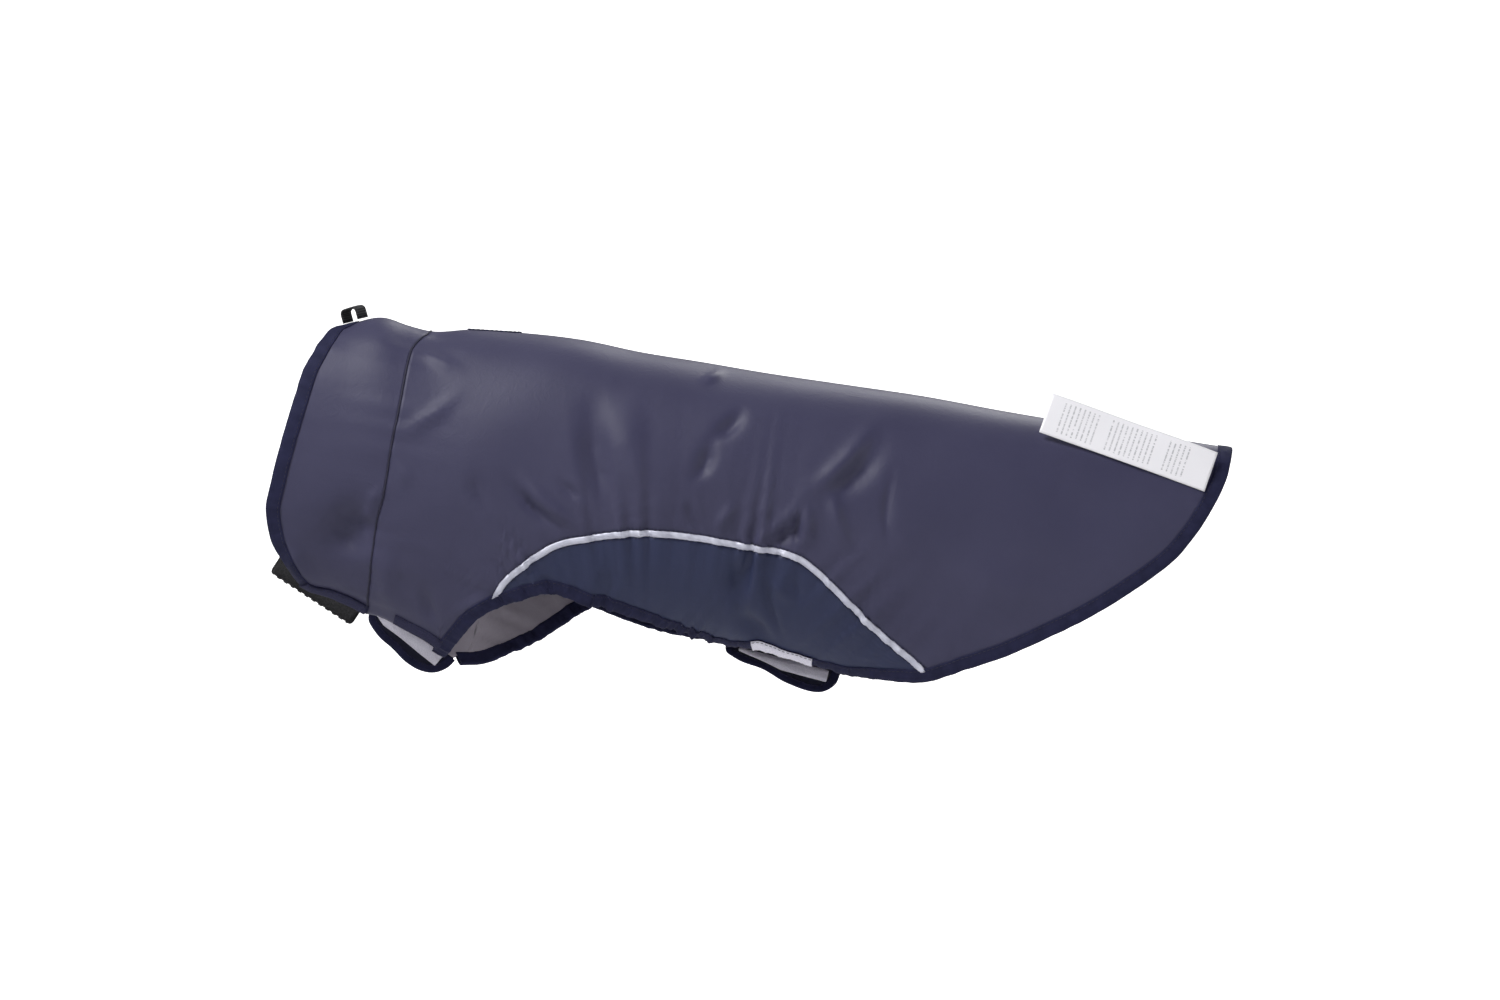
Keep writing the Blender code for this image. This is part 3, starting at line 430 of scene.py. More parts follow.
def keep(name, mesh, material, body_name, slot, *nodes):
    """A finished piece of the coat that rides on a body and stands for CAD nodes."""
    data = bpy.data.meshes.new(name)
    mesh.to_mesh(data)
    mesh.free()
    data.shade_smooth()
    data.materials.append(material)
    made = bpy.data.objects.new(name, data)
    bpy.context.scene.collection.objects.link(made)
    if body_name:
        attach(made, body_name)
    if nodes:
        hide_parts(*nodes)
    return made


def face_out(mesh):
    """Turns a cloth panel's faces away from the middle of the coat."""
    bmesh.ops.remove_doubles(mesh, verts=mesh.verts, dist=WELD)
    bmesh.ops.recalc_face_normals(mesh, faces=mesh.faces)
    outward = 0.0
    for face in mesh.faces:
        middle = face.calc_center_median()
        outward += face.calc_area() * face.normal.dot(Vector((0, middle.y, middle.z + 0.117)))
    if outward < 0:
        bmesh.ops.reverse_faces(mesh, faces=mesh.faces)


def thicken(piece, thickness):
    """Gives a cloth panel its thickness, outwards."""
    solid = piece.modifiers.new("thickness", "SOLIDIFY")
    solid.thickness = thickness
    solid.offset = 1
    return piece


def by_angle(path, rows):
    """Places on the path at equal steps of its angle, from the spine down."""
    order = np.argsort(path[:, 1])
    angles = np.linspace(0, 1, rows + 1) * path[:, 1].max()
    return np.column_stack([np.interp(angles, path[order, 1], path[order, 0]), angles])


def crossing(side, line, edge):
    """Where a line across the skin comes nearest to an edge: the index on each."""
    gaps = np.linalg.norm(on_body(side, line)[:, None] - on_body(side, edge)[None], axis=2)
    return np.unravel_index(np.argmin(gaps), gaps.shape)


def between(path, first, last, steps):
    """Places at equal steps between two indices of a fine path."""
    return path[np.round(np.linspace(first, last, steps + 1)).astype(int)]


def coons(top, bottom, left, right):
    """Places of a four-sided patch, its rows running from the top edge to the bottom edge."""
    u = np.linspace(0, 1, len(top))[None, :, None]
    v = np.linspace(0, 1, len(left))[:, None, None]
    ruled = (1 - v) * top[None] + v * bottom[None]
    blend = (1 - u) * left[:, None] + u * right[:, None]
    corners = (1 - v) * ((1 - u) * top[0] + u * top[-1]) + v * ((1 - u) * bottom[0] + u * bottom[-1])
    return ruled + blend - corners


ROWS = 70
CHEST_STEPS = 20
NOTCH_STEPS = 12
LEG_STEPS = 34
BELLY_STEPS = 86
FLANK_STEPS = 14
HEM_STEPS = 62
BELLY_ROWS = 22
COLLAR_STEPS = 34
PANEL_INSET = BINDING_WIDTH - SEAM_ALLOWANCE


def piping_lines(side):
    """Fine lines beside the piping: where the panels end and where the piping's own edges lie."""
    centre = trace(EDGES[side]["piping"], FINE)
    heading = np.gradient(centre, axis=0)
    heading /= np.linalg.norm(heading, axis=1)[:, None]
    normal = np.column_stack([-heading[:, 1], heading[:, 0]])
    reach = PIPING_WIDTH / 2
    offsets = {"above": reach - 0.0003, "top": reach, "bottom": -reach, "below": -reach + 0.0003}
    return {name: on_skin(side, centre + offset * normal) for name, offset in offsets.items()}


def half_outline(side):
    """The edges of one half as places on the skin, with a station where each piping line ends."""
    leg = on_skin(side, trace(EDGES[side]["leg"], FINE))
    belly = on_skin(side, trace(EDGES[side]["belly"], BELLY_STEPS + 1))
    hem_line = trace(HEM, FINE)
    hem = on_skin(side, hem_line)
    corner = int(np.argmin(np.abs(hem_line[:, 0] - HEM_CORNER[0] / 1000)))
    lines = piping_lines(side)
    leg_panel, hem_panel = inset(side, leg, PANEL_INSET), inset(side, hem, PANEL_INSET)
    half = FINE // 2
    front = {name: crossing(side, lines[name][:half], leg_panel[:half]) for name in ("above", "below")}
    rear = {name: crossing(side, lines[name][half:], hem_panel[:half]) for name in ("above", "below")}
    tail = by_angle(hem[corner:], ROWS)[::-1]
    tail[-1] = (tail[-1, 0], 0)
    parts = [between(leg, 0, front["above"][1], NOTCH_STEPS),
             between(leg, front["below"][1], FINE - 1, LEG_STEPS),
             belly[1:], between(hem, 0, rear["below"][1], FLANK_STEPS)[1:],
             between(hem, rear["above"][1], corner, HEM_STEPS), tail[1:]]
    stations = np.cumsum([len(part) for part in parts]) - 1
    names = ("pipe_top_front", "leg_end", "belly_end", "pipe_bottom_rear", "corner", "tip")
    marks = dict(zip(names, stations))
    lower = np.vstack(parts)
    panel = inset(side, lower, PANEL_INSET, -1)
    under = panel[marks["pipe_top_front"] + 1:marks["pipe_bottom_rear"] + 1]
    share = lengths(on_body(side, under))
    share /= share[-1]
    rows = {}
    for name, line in lines.items():
        key = "above" if name in ("above", "top") else "below"
        start, end = front[key][0], half + rear[key][0]
        rows[name] = line[np.round(start + share * (end - start)).astype(int)]
    rows["above"][0], rows["above"][-1] = panel[marks["pipe_top_front"]], panel[marks["pipe_bottom_rear"] + 1]
    rows["below"][0], rows["below"][-1] = panel[marks["pipe_top_front"] + 1], panel[marks["pipe_bottom_rear"]]
    rows["top"][[0, -1]], rows["bottom"][[0, -1]] = rows["above"][[0, -1]], rows["below"][[0, -1]]
    return {"lower": lower, "panel": panel, "marks": marks, "rows": rows}


def seam_rows(side):
    """Places down the neck seam."""
    return by_angle(on_skin(side, trace(NECK_SEAM + [EDGES[side]["chest"][0]], FINE)), ROWS)


def spine(start, end, shares):
    """Places along the spine at given shares of the way between two x values."""
    return np.column_stack([start + (end - start) * np.array(shares), np.zeros(len(shares))])


def back_patch(side, outline, shares=None):
    """The back panel of one half as places, with the shares used along its spine."""
    marks, panel, rows = outline["marks"], outline["panel"], outline["rows"]
    chest = on_skin(side, trace(EDGES[side]["chest"], FINE))
    run = lengths(on_body(side, chest))
    chest = between(chest, 0, int(np.searchsorted(run, run[-1] - PANEL_INSET)), CHEST_STEPS)
    bottom = np.vstack([chest, panel[1:marks["pipe_top_front"] + 1], rows["above"][1:],
                        panel[marks["pipe_bottom_rear"] + 2:marks["corner"] + 1]])
    left = seam_rows(side)
    bottom[0] = left[-1]
    right = panel[marks["corner"]:][::-1]
    if shares is None:
        run = lengths(on_body(side, bottom))
        shares = run / run[-1]
    top = spine(left[0, 0], right[0, 0], shares)
    return coons(top, bottom, left, right), shares


def belly_patch(outline):
    """The belly panel of one half as places, between the piping and the lower edge."""
    marks = outline["marks"]
    top = outline["rows"]["below"]
    bottom = outline["panel"][marks["pipe_top_front"] + 1:marks["pipe_bottom_rear"] + 1]
    v = np.linspace(0, 1, BELLY_ROWS + 1)[:, None, None]
    return (1 - v) * top[None] + v * bottom[None]


OUTLINES = {side: half_outline(side) for side in SIDES}
BACK = {}
BACK[-1], spine_shares = back_patch(-1, OUTLINES[-1])
BACK[1], _ = back_patch(1, OUTLINES[1], spine_shares)


def taffeta(name, base, deep, shine):
    """Coated polyester taffeta: a tight plain weave under a thin coating, smooth to the touch, with a soft
    sheen and fine handling creases. The real threads are 0.1 mm apart and are drawn 0.5 mm apart to show."""
    made, shader, add = new_material(name)
    spot = add("Attribute", attribute_name="thread").outputs["Vector"]
    scaled = add("Mapping", {"Vector": spot, "Scale": (1000, 1000, 1000)}).outputs["Vector"]
    warp = add("TexWave", {"Vector": scaled, "Scale": 0.63, "Distortion": 0.4, "Detail": 1.0},
               wave_type="BANDS", bands_direction="X").outputs["Fac"]
    weft = add("TexWave", {"Vector": scaled, "Scale": 0.63, "Distortion": 0.4, "Detail": 1.0},
               wave_type="BANDS", bands_direction="Y").outputs["Fac"]
    weave = add("Math", {0: warp, 1: weft}, operation="MULTIPLY").outputs["Value"]
    crumple = add("TexNoise", {"Vector": scaled, "Scale": 0.085, "Detail": 4.0, "Roughness": 0.55,
                               "Distortion": 1.4}).outputs["Fac"]
    ridges = add("Math", {0: add("Math", {0: crumple, 1: 0.5}, operation="SUBTRACT").outputs["Value"]},
                 operation="ABSOLUTE").outputs["Value"]
    patches = add("TexNoise", {"Vector": scaled, "Scale": 0.012, "Detail": 3.0}).outputs["Fac"]
    blotch = add("MapRange", {"Value": patches, "From Min": 0.35, "From Max": 0.65, "To Min": 0.0,
                              "To Max": 1.0}).outputs["Result"]
    mixed = add("Mix", {"Factor": blotch, "A": linear(deep), "B": linear(base)}, data_type="RGBA")
    # Between the threads the colour falls towards the blotchy mix, a little darker than the thread tops:
    # painted shade in the weave's hollows.
    shade = add("Mix", {"Factor": weave, "A": mixed.outputs["Result"], "B": linear(base)}, data_type="RGBA")
    link(made, shade.outputs["Result"], shader.inputs["Base Color"])
    rough = add("MapRange", {"Value": weave, "To Min": shine, "To Max": shine + 0.08}).outputs["Result"]
    link(made, rough, shader.inputs["Roughness"])
    low = add("Bump", {"Height": ridges, "Strength": 0.2, "Distance": 0.0014})
    fine = add("Bump", {"Height": weave, "Strength": 0.12, "Distance": 0.0001,
                        "Normal": low.outputs["Normal"]})
    link(made, fine.outputs["Normal"], shader.inputs["Normal"])
    shader.inputs["Sheen Weight"].default_value = 0.04
    shader.inputs["Sheen Roughness"].default_value = 0.5
    shader.inputs["Specular IOR Level"].default_value = 0.3
    return made


shell_cloth = taffeta("coated_taffeta_navy", "#3b3a54", "#36354f", 0.5)
# The belly panel is the same taffeta as the back, painted darker and bluer as painted shade on the underside.
belly_taffeta_painted_shade = taffeta("coated_taffeta_belly_painted_shade", "#2b3150", "#262c4a", 0.48)
lining_cloth = taffeta("lining_taffeta_grey", "#a39da8", "#99939e", 0.5)

SLIT_START, SLIT_LENGTH, SLIT_WIDTH, SLIT_TAPE = 0.032, 0.030, 0.0045, 0.0035


def in_slit(spots, grow):
    """Which places on the back lie inside the leash slit, grown by a distance."""
    _, _, width = body(1, spots[..., 0])
    radius = SLIT_WIDTH / 2
    x = spots[..., 0] - np.clip(spots[..., 0], SLIT_START + radius, SLIT_START + SLIT_LENGTH - radius)
    return np.hypot(x, spots[..., 1] * width) < radius + grow


def cut_slit(mesh):
    """Opens the leash slit in a back panel."""
    corners = np.array([vert.co for vert in mesh.verts])
    _, _, width = body(1, corners[:, 0])
    spots = np.column_stack([corners[:, 0], np.abs(corners[:, 1]) / width])
    spots[corners[:, 2] < -0.02, 1] = math.pi
    inside = in_slit(spots, 0.0006)
    mesh.verts.ensure_lookup_table()
    gone = [mesh.verts[i] for i in np.flatnonzero(inside)]
    bmesh.ops.delete(mesh, geom=gone, context="VERTS")


def back_sheet(out, extra=()):
    """The back's two halves as one sheet at a distance off the skin, with the leash slit open."""
    mesh = bmesh.new()
    for side in SIDES:
        points = place(side, BACK[side], out)
        add_grid(mesh, points, threads(points))
        for patch in extra:
            points = place(side, patch(side), out)
            add_grid(mesh, points, threads(points))
    face_out(mesh)
    cut_slit(mesh)
    return mesh


back = back_sheet(SHELL_BASE)
back = thicken(keep("back_panel", back, shell_cloth, "coat", "shell", "back_shell"), SHELL_THICKNESS)
behind_piping = {side: np.stack([outline["rows"]["above"], outline["rows"]["below"]])
                 for side, outline in OUTLINES.items()}
under = back_sheet(0, [behind_piping.get, lambda side: belly_patch(OUTLINES[side])])
lining = thicken(keep("back_lining_cloth", under, lining_cloth, "coat", "lining", "back_lining"),
                 LINING_THICKNESS)
for side, word in SIDES.items():
    mesh = bmesh.new()
    points = place(side, belly_patch(OUTLINES[side]), SHELL_BASE)
    add_grid(mesh, points, threads(points))
    face_out(mesh)
    thicken(keep("belly_cloth_" + word, mesh, belly_taffeta_painted_shade, "coat", "panel",
                                 "belly_panel_" + word), SHELL_THICKNESS)


# ---- collar ----
# A standing band of the same taffeta with its own lining, seamed to the neck edge. A fine roll of cloth
# shows along the seam; it takes the dark navy thread colour as painted shade along the seam line.
def collar_edge(side, count):
    """The collar's free edge from the neck seam round its corner and up to the spine."""
    path = on_skin(side, trace(EDGES[side]["collar"], count))
    path[-1] = (path[-1, 0], 0)
    return path


def collar_patch(side):
    """The collar of one half as places."""
    edge = collar_edge(side, FINE)
    turn = int(np.argmin(np.abs(edge - on_skin(side, chart([COLLAR_CORNERS[side]]))).sum(axis=1)))
    front = by_angle(edge[turn:], ROWS)[::-1]
    front[-1] = (front[-1, 0], 0)
    outline = np.vstack([between(edge, 0, turn, COLLAR_STEPS), front[1:]])
    panel = inset(side, outline, PANEL_INSET, 1)
    seam = on_skin(side, trace(NECK_SEAM + [EDGES[side]["chest"][0]], FINE))[::-1]
    run = lengths(on_body(side, seam))
    panel[0] = (np.interp(PANEL_INSET, run, seam[:, 0]), np.interp(PANEL_INSET, run, seam[:, 1]))
    bottom, left, right = panel[:COLLAR_STEPS + 1][::-1], panel[COLLAR_STEPS:][::-1], seam_rows(side)
    right[-1] = bottom[-1]
    return coons(spine(left[0, 0], right[0, 0], np.linspace(0, 1, COLLAR_STEPS + 1)), bottom, left, right)


def collar_sheet(out):
    """The collar's two halves as one sheet at a distance off the skin."""
    mesh = bmesh.new()
    for side in SIDES:
        points = place(side, collar_patch(side), out)
        add_grid(mesh, points, threads(points))
    face_out(mesh)
    return mesh


collar = thicken(keep("collar_cloth", collar_sheet(SHELL_BASE), shell_cloth, "coat", "shell", "collar_shell"),
                 SHELL_THICKNESS)
collar_inside = thicken(keep("collar_lining_cloth", collar_sheet(0), lining_cloth, "coat", "lining",
                             "collar_lining"), LINING_THICKNESS)


def swept(mesh, points, closed=False):
    """A strip whose section runs down the rows and closes on itself, swept along the columns."""
    rows, columns = points.shape[:2]
    along = lengths(points.mean(axis=0))
    round_it = lengths(points.mean(axis=1))
    thread = np.zeros((rows, columns, 3))
    thread[..., 0] = along[None]
    thread[..., 1] = round_it[:, None]
    grid = np.vstack([points, points[:1]])
    before = set(mesh.faces)
    add_grid(mesh, grid, np.vstack([thread, thread[:1]]))
    bmesh.ops.remove_doubles(mesh, verts=mesh.verts, dist=WELD / 2)
    if not closed:
        ends = [edge for edge in mesh.edges if edge.is_boundary]
        bmesh.ops.holes_fill(mesh, edges=ends, sides=0)
    bmesh.ops.recalc_face_normals(mesh, faces=[face for face in mesh.faces if face not in before])


def tube(mesh, centre, normal, radius, closed=False):
    """A thin round roll along a line of points, whose normals stand out of the cloth."""
    heading = np.gradient(centre, axis=0)
    side_way = np.cross(heading, normal)
    side_way /= np.linalg.norm(side_way, axis=1)[:, None]
    rings = [centre + radius * (math.cos(t) * normal + math.sin(t) * side_way)
             for t in np.linspace(0, 2 * math.pi, 9)[:-1]]
    swept(mesh, np.stack(rings), closed)


def cloth_normal(side, path):
    """The cloth's outward direction at places on it."""
    up = lie(side, path, 0.001) - lie(side, path)
    return up / np.linalg.norm(up, axis=1)[:, None]


def sewing_thread(name, colour):
    """Spun polyester sewing thread: two plies twisted together, dull, with fine random darker flecks as
    painted shade in the twist.
    """
    made, shader, add = new_material(name)
    spot = add("TexCoord").outputs["Object"]
    twist = add("TexNoise", {"Vector": spot, "Scale": 2600, "Detail": 1.0}).outputs["Fac"]
    tone = add("MapRange", {"Value": twist, "To Min": 0.75, "To Max": 1.1}).outputs["Result"]
    # The darker flecks are painted shade standing for the grooves of the twist.
    dark = tuple(0.6 * c for c in linear(colour)[:3]) + (1,)
    mix = add("Mix", {"Factor": tone, "A": dark, "B": linear(colour)}, data_type="RGBA")
    link(made, mix.outputs["Result"], shader.inputs["Base Color"])
    shader.inputs["Roughness"].default_value = 0.75
    return made


navy_thread = sewing_thread("polyester_thread_navy", "#1d1d33")
grey_thread = sewing_thread("polyester_thread_grey", "#8f8da0")

mesh = bmesh.new()
for side in SIDES:
    path = seam_rows(side)
    # The seam roll is a real ridge, given the dark thread colour as painted shade of the seam.
    tube(mesh, place(side, path, SHELL_TOP - 0.0001), cloth_normal(side, path), 0.0007)
keep("neck_seam_roll_painted_shade", mesh, navy_thread, "coat", "binding")


# ---- bound edges ----
# Bias tape folded round the raw edges of shell and lining and sewn through near its inner edge. The tape
# stands a little puffy between the fold and the stitches, and ripples where it eases round a curve.
def bias_tape(name, colour, deep):
    """Polyester bias tape: plain weave cut at 45 degrees, matt, a shade paler in soft random patches."""
    made, shader, add = new_material(name)
    spot = add("Attribute", attribute_name="thread").outputs["Vector"]
    turned = add("Mapping", {"Vector": spot, "Rotation": (0, 0, math.pi / 4),
                             "Scale": (1000, 1000, 1000)}).outputs["Vector"]
    warp = add("TexWave", {"Vector": turned, "Scale": 0.55, "Distortion": 0.3}, bands_direction="X")
    weft = add("TexWave", {"Vector": turned, "Scale": 0.55, "Distortion": 0.3}, bands_direction="Y")
    weave = add("Math", {0: warp.outputs["Fac"], 1: weft.outputs["Fac"]}, operation="ADD").outputs["Value"]
    worn = add("TexNoise", {"Vector": turned, "Scale": 0.12, "Detail": 4.0}).outputs["Fac"]
    tone = add("MapRange", {"Value": worn, "From Min": 0.3, "From Max": 0.7}).outputs["Result"]
    mix = add("Mix", {"Factor": tone, "A": linear(deep), "B": linear(colour)}, data_type="RGBA")
    link(made, mix.outputs["Result"], shader.inputs["Base Color"])
    bump = add("Bump", {"Height": weave, "Strength": 0.3, "Distance": 0.0002})
    link(made, bump.outputs["Normal"], shader.inputs["Normal"])
    shader.inputs["Roughness"].default_value = 0.65
    shader.inputs["Specular IOR Level"].default_value = 0.12
    return made


binding_tape = bias_tape("bias_tape_navy", "#272844", "#20213a")
TAPE_LOW, TAPE_HIGH, TAPE_WALL = -0.0005, 0.0019, 0.0004
STITCH_LINE = BINDING_WIDTH - 0.0016
STITCH_PITCH, STITCH_LENGTH, STITCH_RADIUS = 0.0031, 0.0023, 0.00024


def folded_section(width, low, high, wall):
    """A tape folded round an edge, as (distance inside the edge, distance off the skin), closed."""
    radius, middle = (high - low) / 2, (high + low) / 2
    turn = np.linspace(-math.pi / 2, -3 * math.pi / 2, 7)
    lower = [(d, low) for d in np.linspace(width, radius, 6)]
    nose = [(radius + radius * math.cos(t), middle + radius * math.sin(t)) for t in turn[1:-1]]
    upper = [(d, high) for d in np.linspace(radius, width, 9)]
    pocket = radius * 1.2
    inner = [(width, high - wall), (pocket, high - wall), (pocket, low + wall), (width, low + wall)]
    return np.array(lower + nose + upper + inner)


def along_edge(side, path, section, pucker=0.0, wave=6.0, seed=1, spine_step=0.0):
    """Points of a section swept along an edge, puckered between its fold and its stitches."""
    run = lengths(on_body(side, path)) * 1000
    ripple = waver(run, wave, seed)
    wobble = 0.25 * pucker * waver(run, wave * 1.7, seed + 3)
    middle = (section[:, 1].max() + section[:, 1].min()) / 2
    rows = []
    for distance, out in section:
        rise = math.sin(math.pi * min(max(distance / STITCH_LINE, 0), 1))
        puff = pucker * rise * (1 if out > middle else -0.6)
        spots = inset(side, path, distance + wobble * (distance < 0.004), spine_step)
        if spine_step:
            ripple = ripple * np.clip((len(run) - 1 - np.arange(len(run))) / 8, 0, 1)
        rows.append(place(side, spots, out + puff * (0.55 + 0.45 * ripple)))
    return np.stack(rows)


def dense(side, path, step):
    """The path with places at an even step along the skin."""
    run = lengths(on_body(side, path))
    want = np.linspace(0, run[-1], max(int(run[-1] / step), 2) + 1)
    return np.column_stack([np.interp(want, run, path[:, 0]), np.interp(want, run, path[:, 1])])


stitch_form = bmesh.new()
bmesh.ops.create_uvsphere(stitch_form, u_segments=6, v_segments=4, radius=1,
                          matrix=Matrix.Rotation(math.pi / 2, 4, "Y"))
bmesh.ops.scale(stitch_form, verts=stitch_form.verts, vec=(STITCH_LENGTH / 2, STITCH_RADIUS, STITCH_RADIUS))
one_stitch = bpy.data.meshes.new("one_stitch")
stitch_form.to_mesh(one_stitch)
stitch_form.free()


def sew(mesh, centre, normal):
    """A row of stitches along a line on the cloth."""
    run = lengths(centre)
    count = int(run[-1] / STITCH_PITCH)
    for i in range(count):
        at, ahead = (i + 0.5) * STITCH_PITCH, (i + 0.5) * STITCH_PITCH + 0.0004
        spot = Vector([np.interp(at, run, centre[:, k]) for k in range(3)])
        to = Vector([np.interp(ahead, run, centre[:, k]) for k in range(3)])
        up = Vector([np.interp(at, run, normal[:, k]) for k in range(3)])
        heading = (to - spot).normalized()
        across = up.cross(heading).normalized()
        turn = Matrix((heading, across, heading.cross(across))).transposed().to_4x4()
        seat = Matrix.Translation(spot) @ turn
        one_stitch.transform(seat)
        mesh.from_mesh(one_stitch)
        one_stitch.transform(seat.inverted())


section = folded_section(BINDING_WIDTH, TAPE_LOW, TAPE_HIGH, TAPE_WALL)
EDGE_STEP = 0.0012
mesh, seams = bmesh.new(), bmesh.new()
halves = []
for side in SIDES:
    path = dense(side, collar_edge(side, FINE), EDGE_STEP)
    halves.append(along_edge(side, path, section, 0.0006, 13, 2 + side, 1))
    line = inset(side, path, STITCH_LINE, 1)[4:]
    sew(seams, place(side, line, TAPE_HIGH + 0.0001), cloth_normal(side, line))
swept(mesh, np.concatenate([halves[0], halves[1][:, ::-1][:, 1:]], axis=1))
keep("collar_binding_tape", mesh, binding_tape, "coat", "binding", "collar_binding")
halves = []
for side in SIDES:
    marks, lower = OUTLINES[side]["marks"], OUTLINES[side]["lower"]
    path = dense(side, lower[marks["belly_end"]:], EDGE_STEP)
    halves.append(along_edge(side, path, section, 0.0005, 12, 7 + side, -1))
    line = inset(side, path, STITCH_LINE, -1)
    sew(seams, place(side, line, TAPE_HIGH + 0.0001), cloth_normal(side, line))
mesh = bmesh.new()
swept(mesh, np.concatenate([halves[0], halves[1][:, ::-1][:, 1:]], axis=1))
keep("hem_binding_tape", mesh, binding_tape, "coat", "binding", "hem_binding")


# ---- elastic casings ----
# At the leg openings and the belly edge the tape is a casing with knitted elastic inside, which gathers
# the edge into close, uneven puckers.
def knitted_elastic(name, colour):
    """Knitted elastic band: lengthwise ribs 1 mm apart over rubber cores, matt."""
    made, shader, add = new_material(name)
    spot = add("Attribute", attribute_name="thread").outputs["Vector"]
    scaled = add("Mapping", {"Vector": spot, "Scale": (1000, 1000, 1000)}).outputs["Vector"]
    ribs = add("TexWave", {"Vector": scaled, "Scale": 0.31, "Distortion": 0.2}, bands_direction="Y")
    bump = add("Bump", {"Height": ribs.outputs["Fac"], "Strength": 0.5, "Distance": 0.0003})
    link(made, bump.outputs["Normal"], shader.inputs["Normal"])
    shader.inputs["Base Color"].default_value = linear(colour)
    shader.inputs["Roughness"].default_value = 0.8
    return made


elastic_band = knitted_elastic("knitted_elastic_black", "#2a2a2c")
ELASTIC_FROM, ELASTIC_TO, ELASTIC_LOW, ELASTIC_HIGH = 0.0018, 0.0078, 0.0004, 0.0010
elastic_section = np.array([(d, ELASTIC_LOW) for d in np.linspace(ELASTIC_TO, ELASTIC_FROM, 5)]
                           + [(d, ELASTIC_HIGH) for d in np.linspace(ELASTIC_FROM, ELASTIC_TO, 5)])
for side, word in SIDES.items():
    marks, lower = OUTLINES[side]["marks"], OUTLINES[side]["lower"]
    spans = {"leg": (0, marks["leg_end"]), "belly": (marks["leg_end"], marks["belly_end"])}
    for edge, (first, last) in spans.items():
        path = dense(side, lower[first:last + 1], 0.0009)
        strong = 0.0010 if edge == "belly" and side < 0 else 0.0006
        mesh = bmesh.new()
        swept(mesh, along_edge(side, path, section, strong, 5.4, 11 + side + first))
        keep(edge + "_casing_tape_" + word, mesh, binding_tape, "coat", "binding", edge + "_casing_" + word)
        mesh = bmesh.new()
        swept(mesh, along_edge(side, path[2:-2], elastic_section))
        keep(edge + "_elastic_band_" + word, mesh, elastic_band, "coat", "elastic", edge + "_elastic_" + word)
        line = inset(side, path, STITCH_LINE)
        sew(seams, place(side, line, TAPE_HIGH + 0.0001), cloth_normal(side, line))

# ---- piping ----
# Retroreflective tape folded round a thin cord and caught in the seam between back and belly panel.
# Glass beads make it bright and slightly cool. A row of stitches runs along its upper edge.
reflective, shader, add = new_material("retroreflective_tape_silver")
spot = add("Attribute", attribute_name="thread").outputs["Vector"]
scaled = add("Mapping", {"Vector": spot, "Scale": (1000, 1000, 1000)}).outputs["Vector"]
beads = add("TexVoronoi", {"Vector": scaled, "Scale": 2.2}).outputs["Distance"]
dull = add("TexNoise", {"Vector": scaled, "Scale": 0.16, "Detail": 3.0}).outputs["Fac"]
tone = add("MapRange", {"Value": dull, "From Min": 0.3, "From Max": 0.7}).outputs["Result"]
mix = add("Mix", {"Factor": tone, "A": linear("#b4b5c6"), "B": linear("#d2d3e2")}, data_type="RGBA")
link(reflective, mix.outputs["Result"], shader.inputs["Base Color"])
link(reflective, add("Bump", {"Height": beads, "Strength": 0.15, "Distance": 0.0001}).outputs["Normal"],
     shader.inputs["Normal"])
shader.inputs["Roughness"].default_value = 0.38
shader.inputs["Metallic"].default_value = 0.15

PIPING_RISE = 0.0012
across = np.linspace(0, 1, 11)
arch = [math.sqrt(max(1 - (2 * w - 1) ** 2, 0)) for w in across]
for side, word in SIDES.items():
    rows = OUTLINES[side]["rows"]
    top, bottom = dense(side, rows["top"], 0.0015), dense(side, rows["bottom"], 0.0015)
    count = min(len(top), len(bottom))
    top = top[np.round(np.linspace(0, len(top) - 1, count)).astype(int)]
    bottom = bottom[np.round(np.linspace(0, len(bottom) - 1, count)).astype(int)]
    levels = [place(side, (1 - w) * top + w * bottom, SHELL_TOP - 0.0002 + PIPING_RISE * h)
              for w, h in zip(across, arch)]
    levels += [place(side, (1 - w) * top + w * bottom, SHELL_BASE - 0.0001) for w in (0.9, 0.5, 0.1)]
    mesh = bmesh.new()
    swept(mesh, np.stack(levels))
    keep("piping_" + word, mesh, reflective, "coat", "piping", "reflective_piping_" + word)
    for line, shift in ((top, 1.16), (bottom, -0.16)):
        seat = shift * top + (1 - shift) * bottom
        sew(seams, place(side, seat, SHELL_TOP + 0.0001), cloth_normal(side, seat))

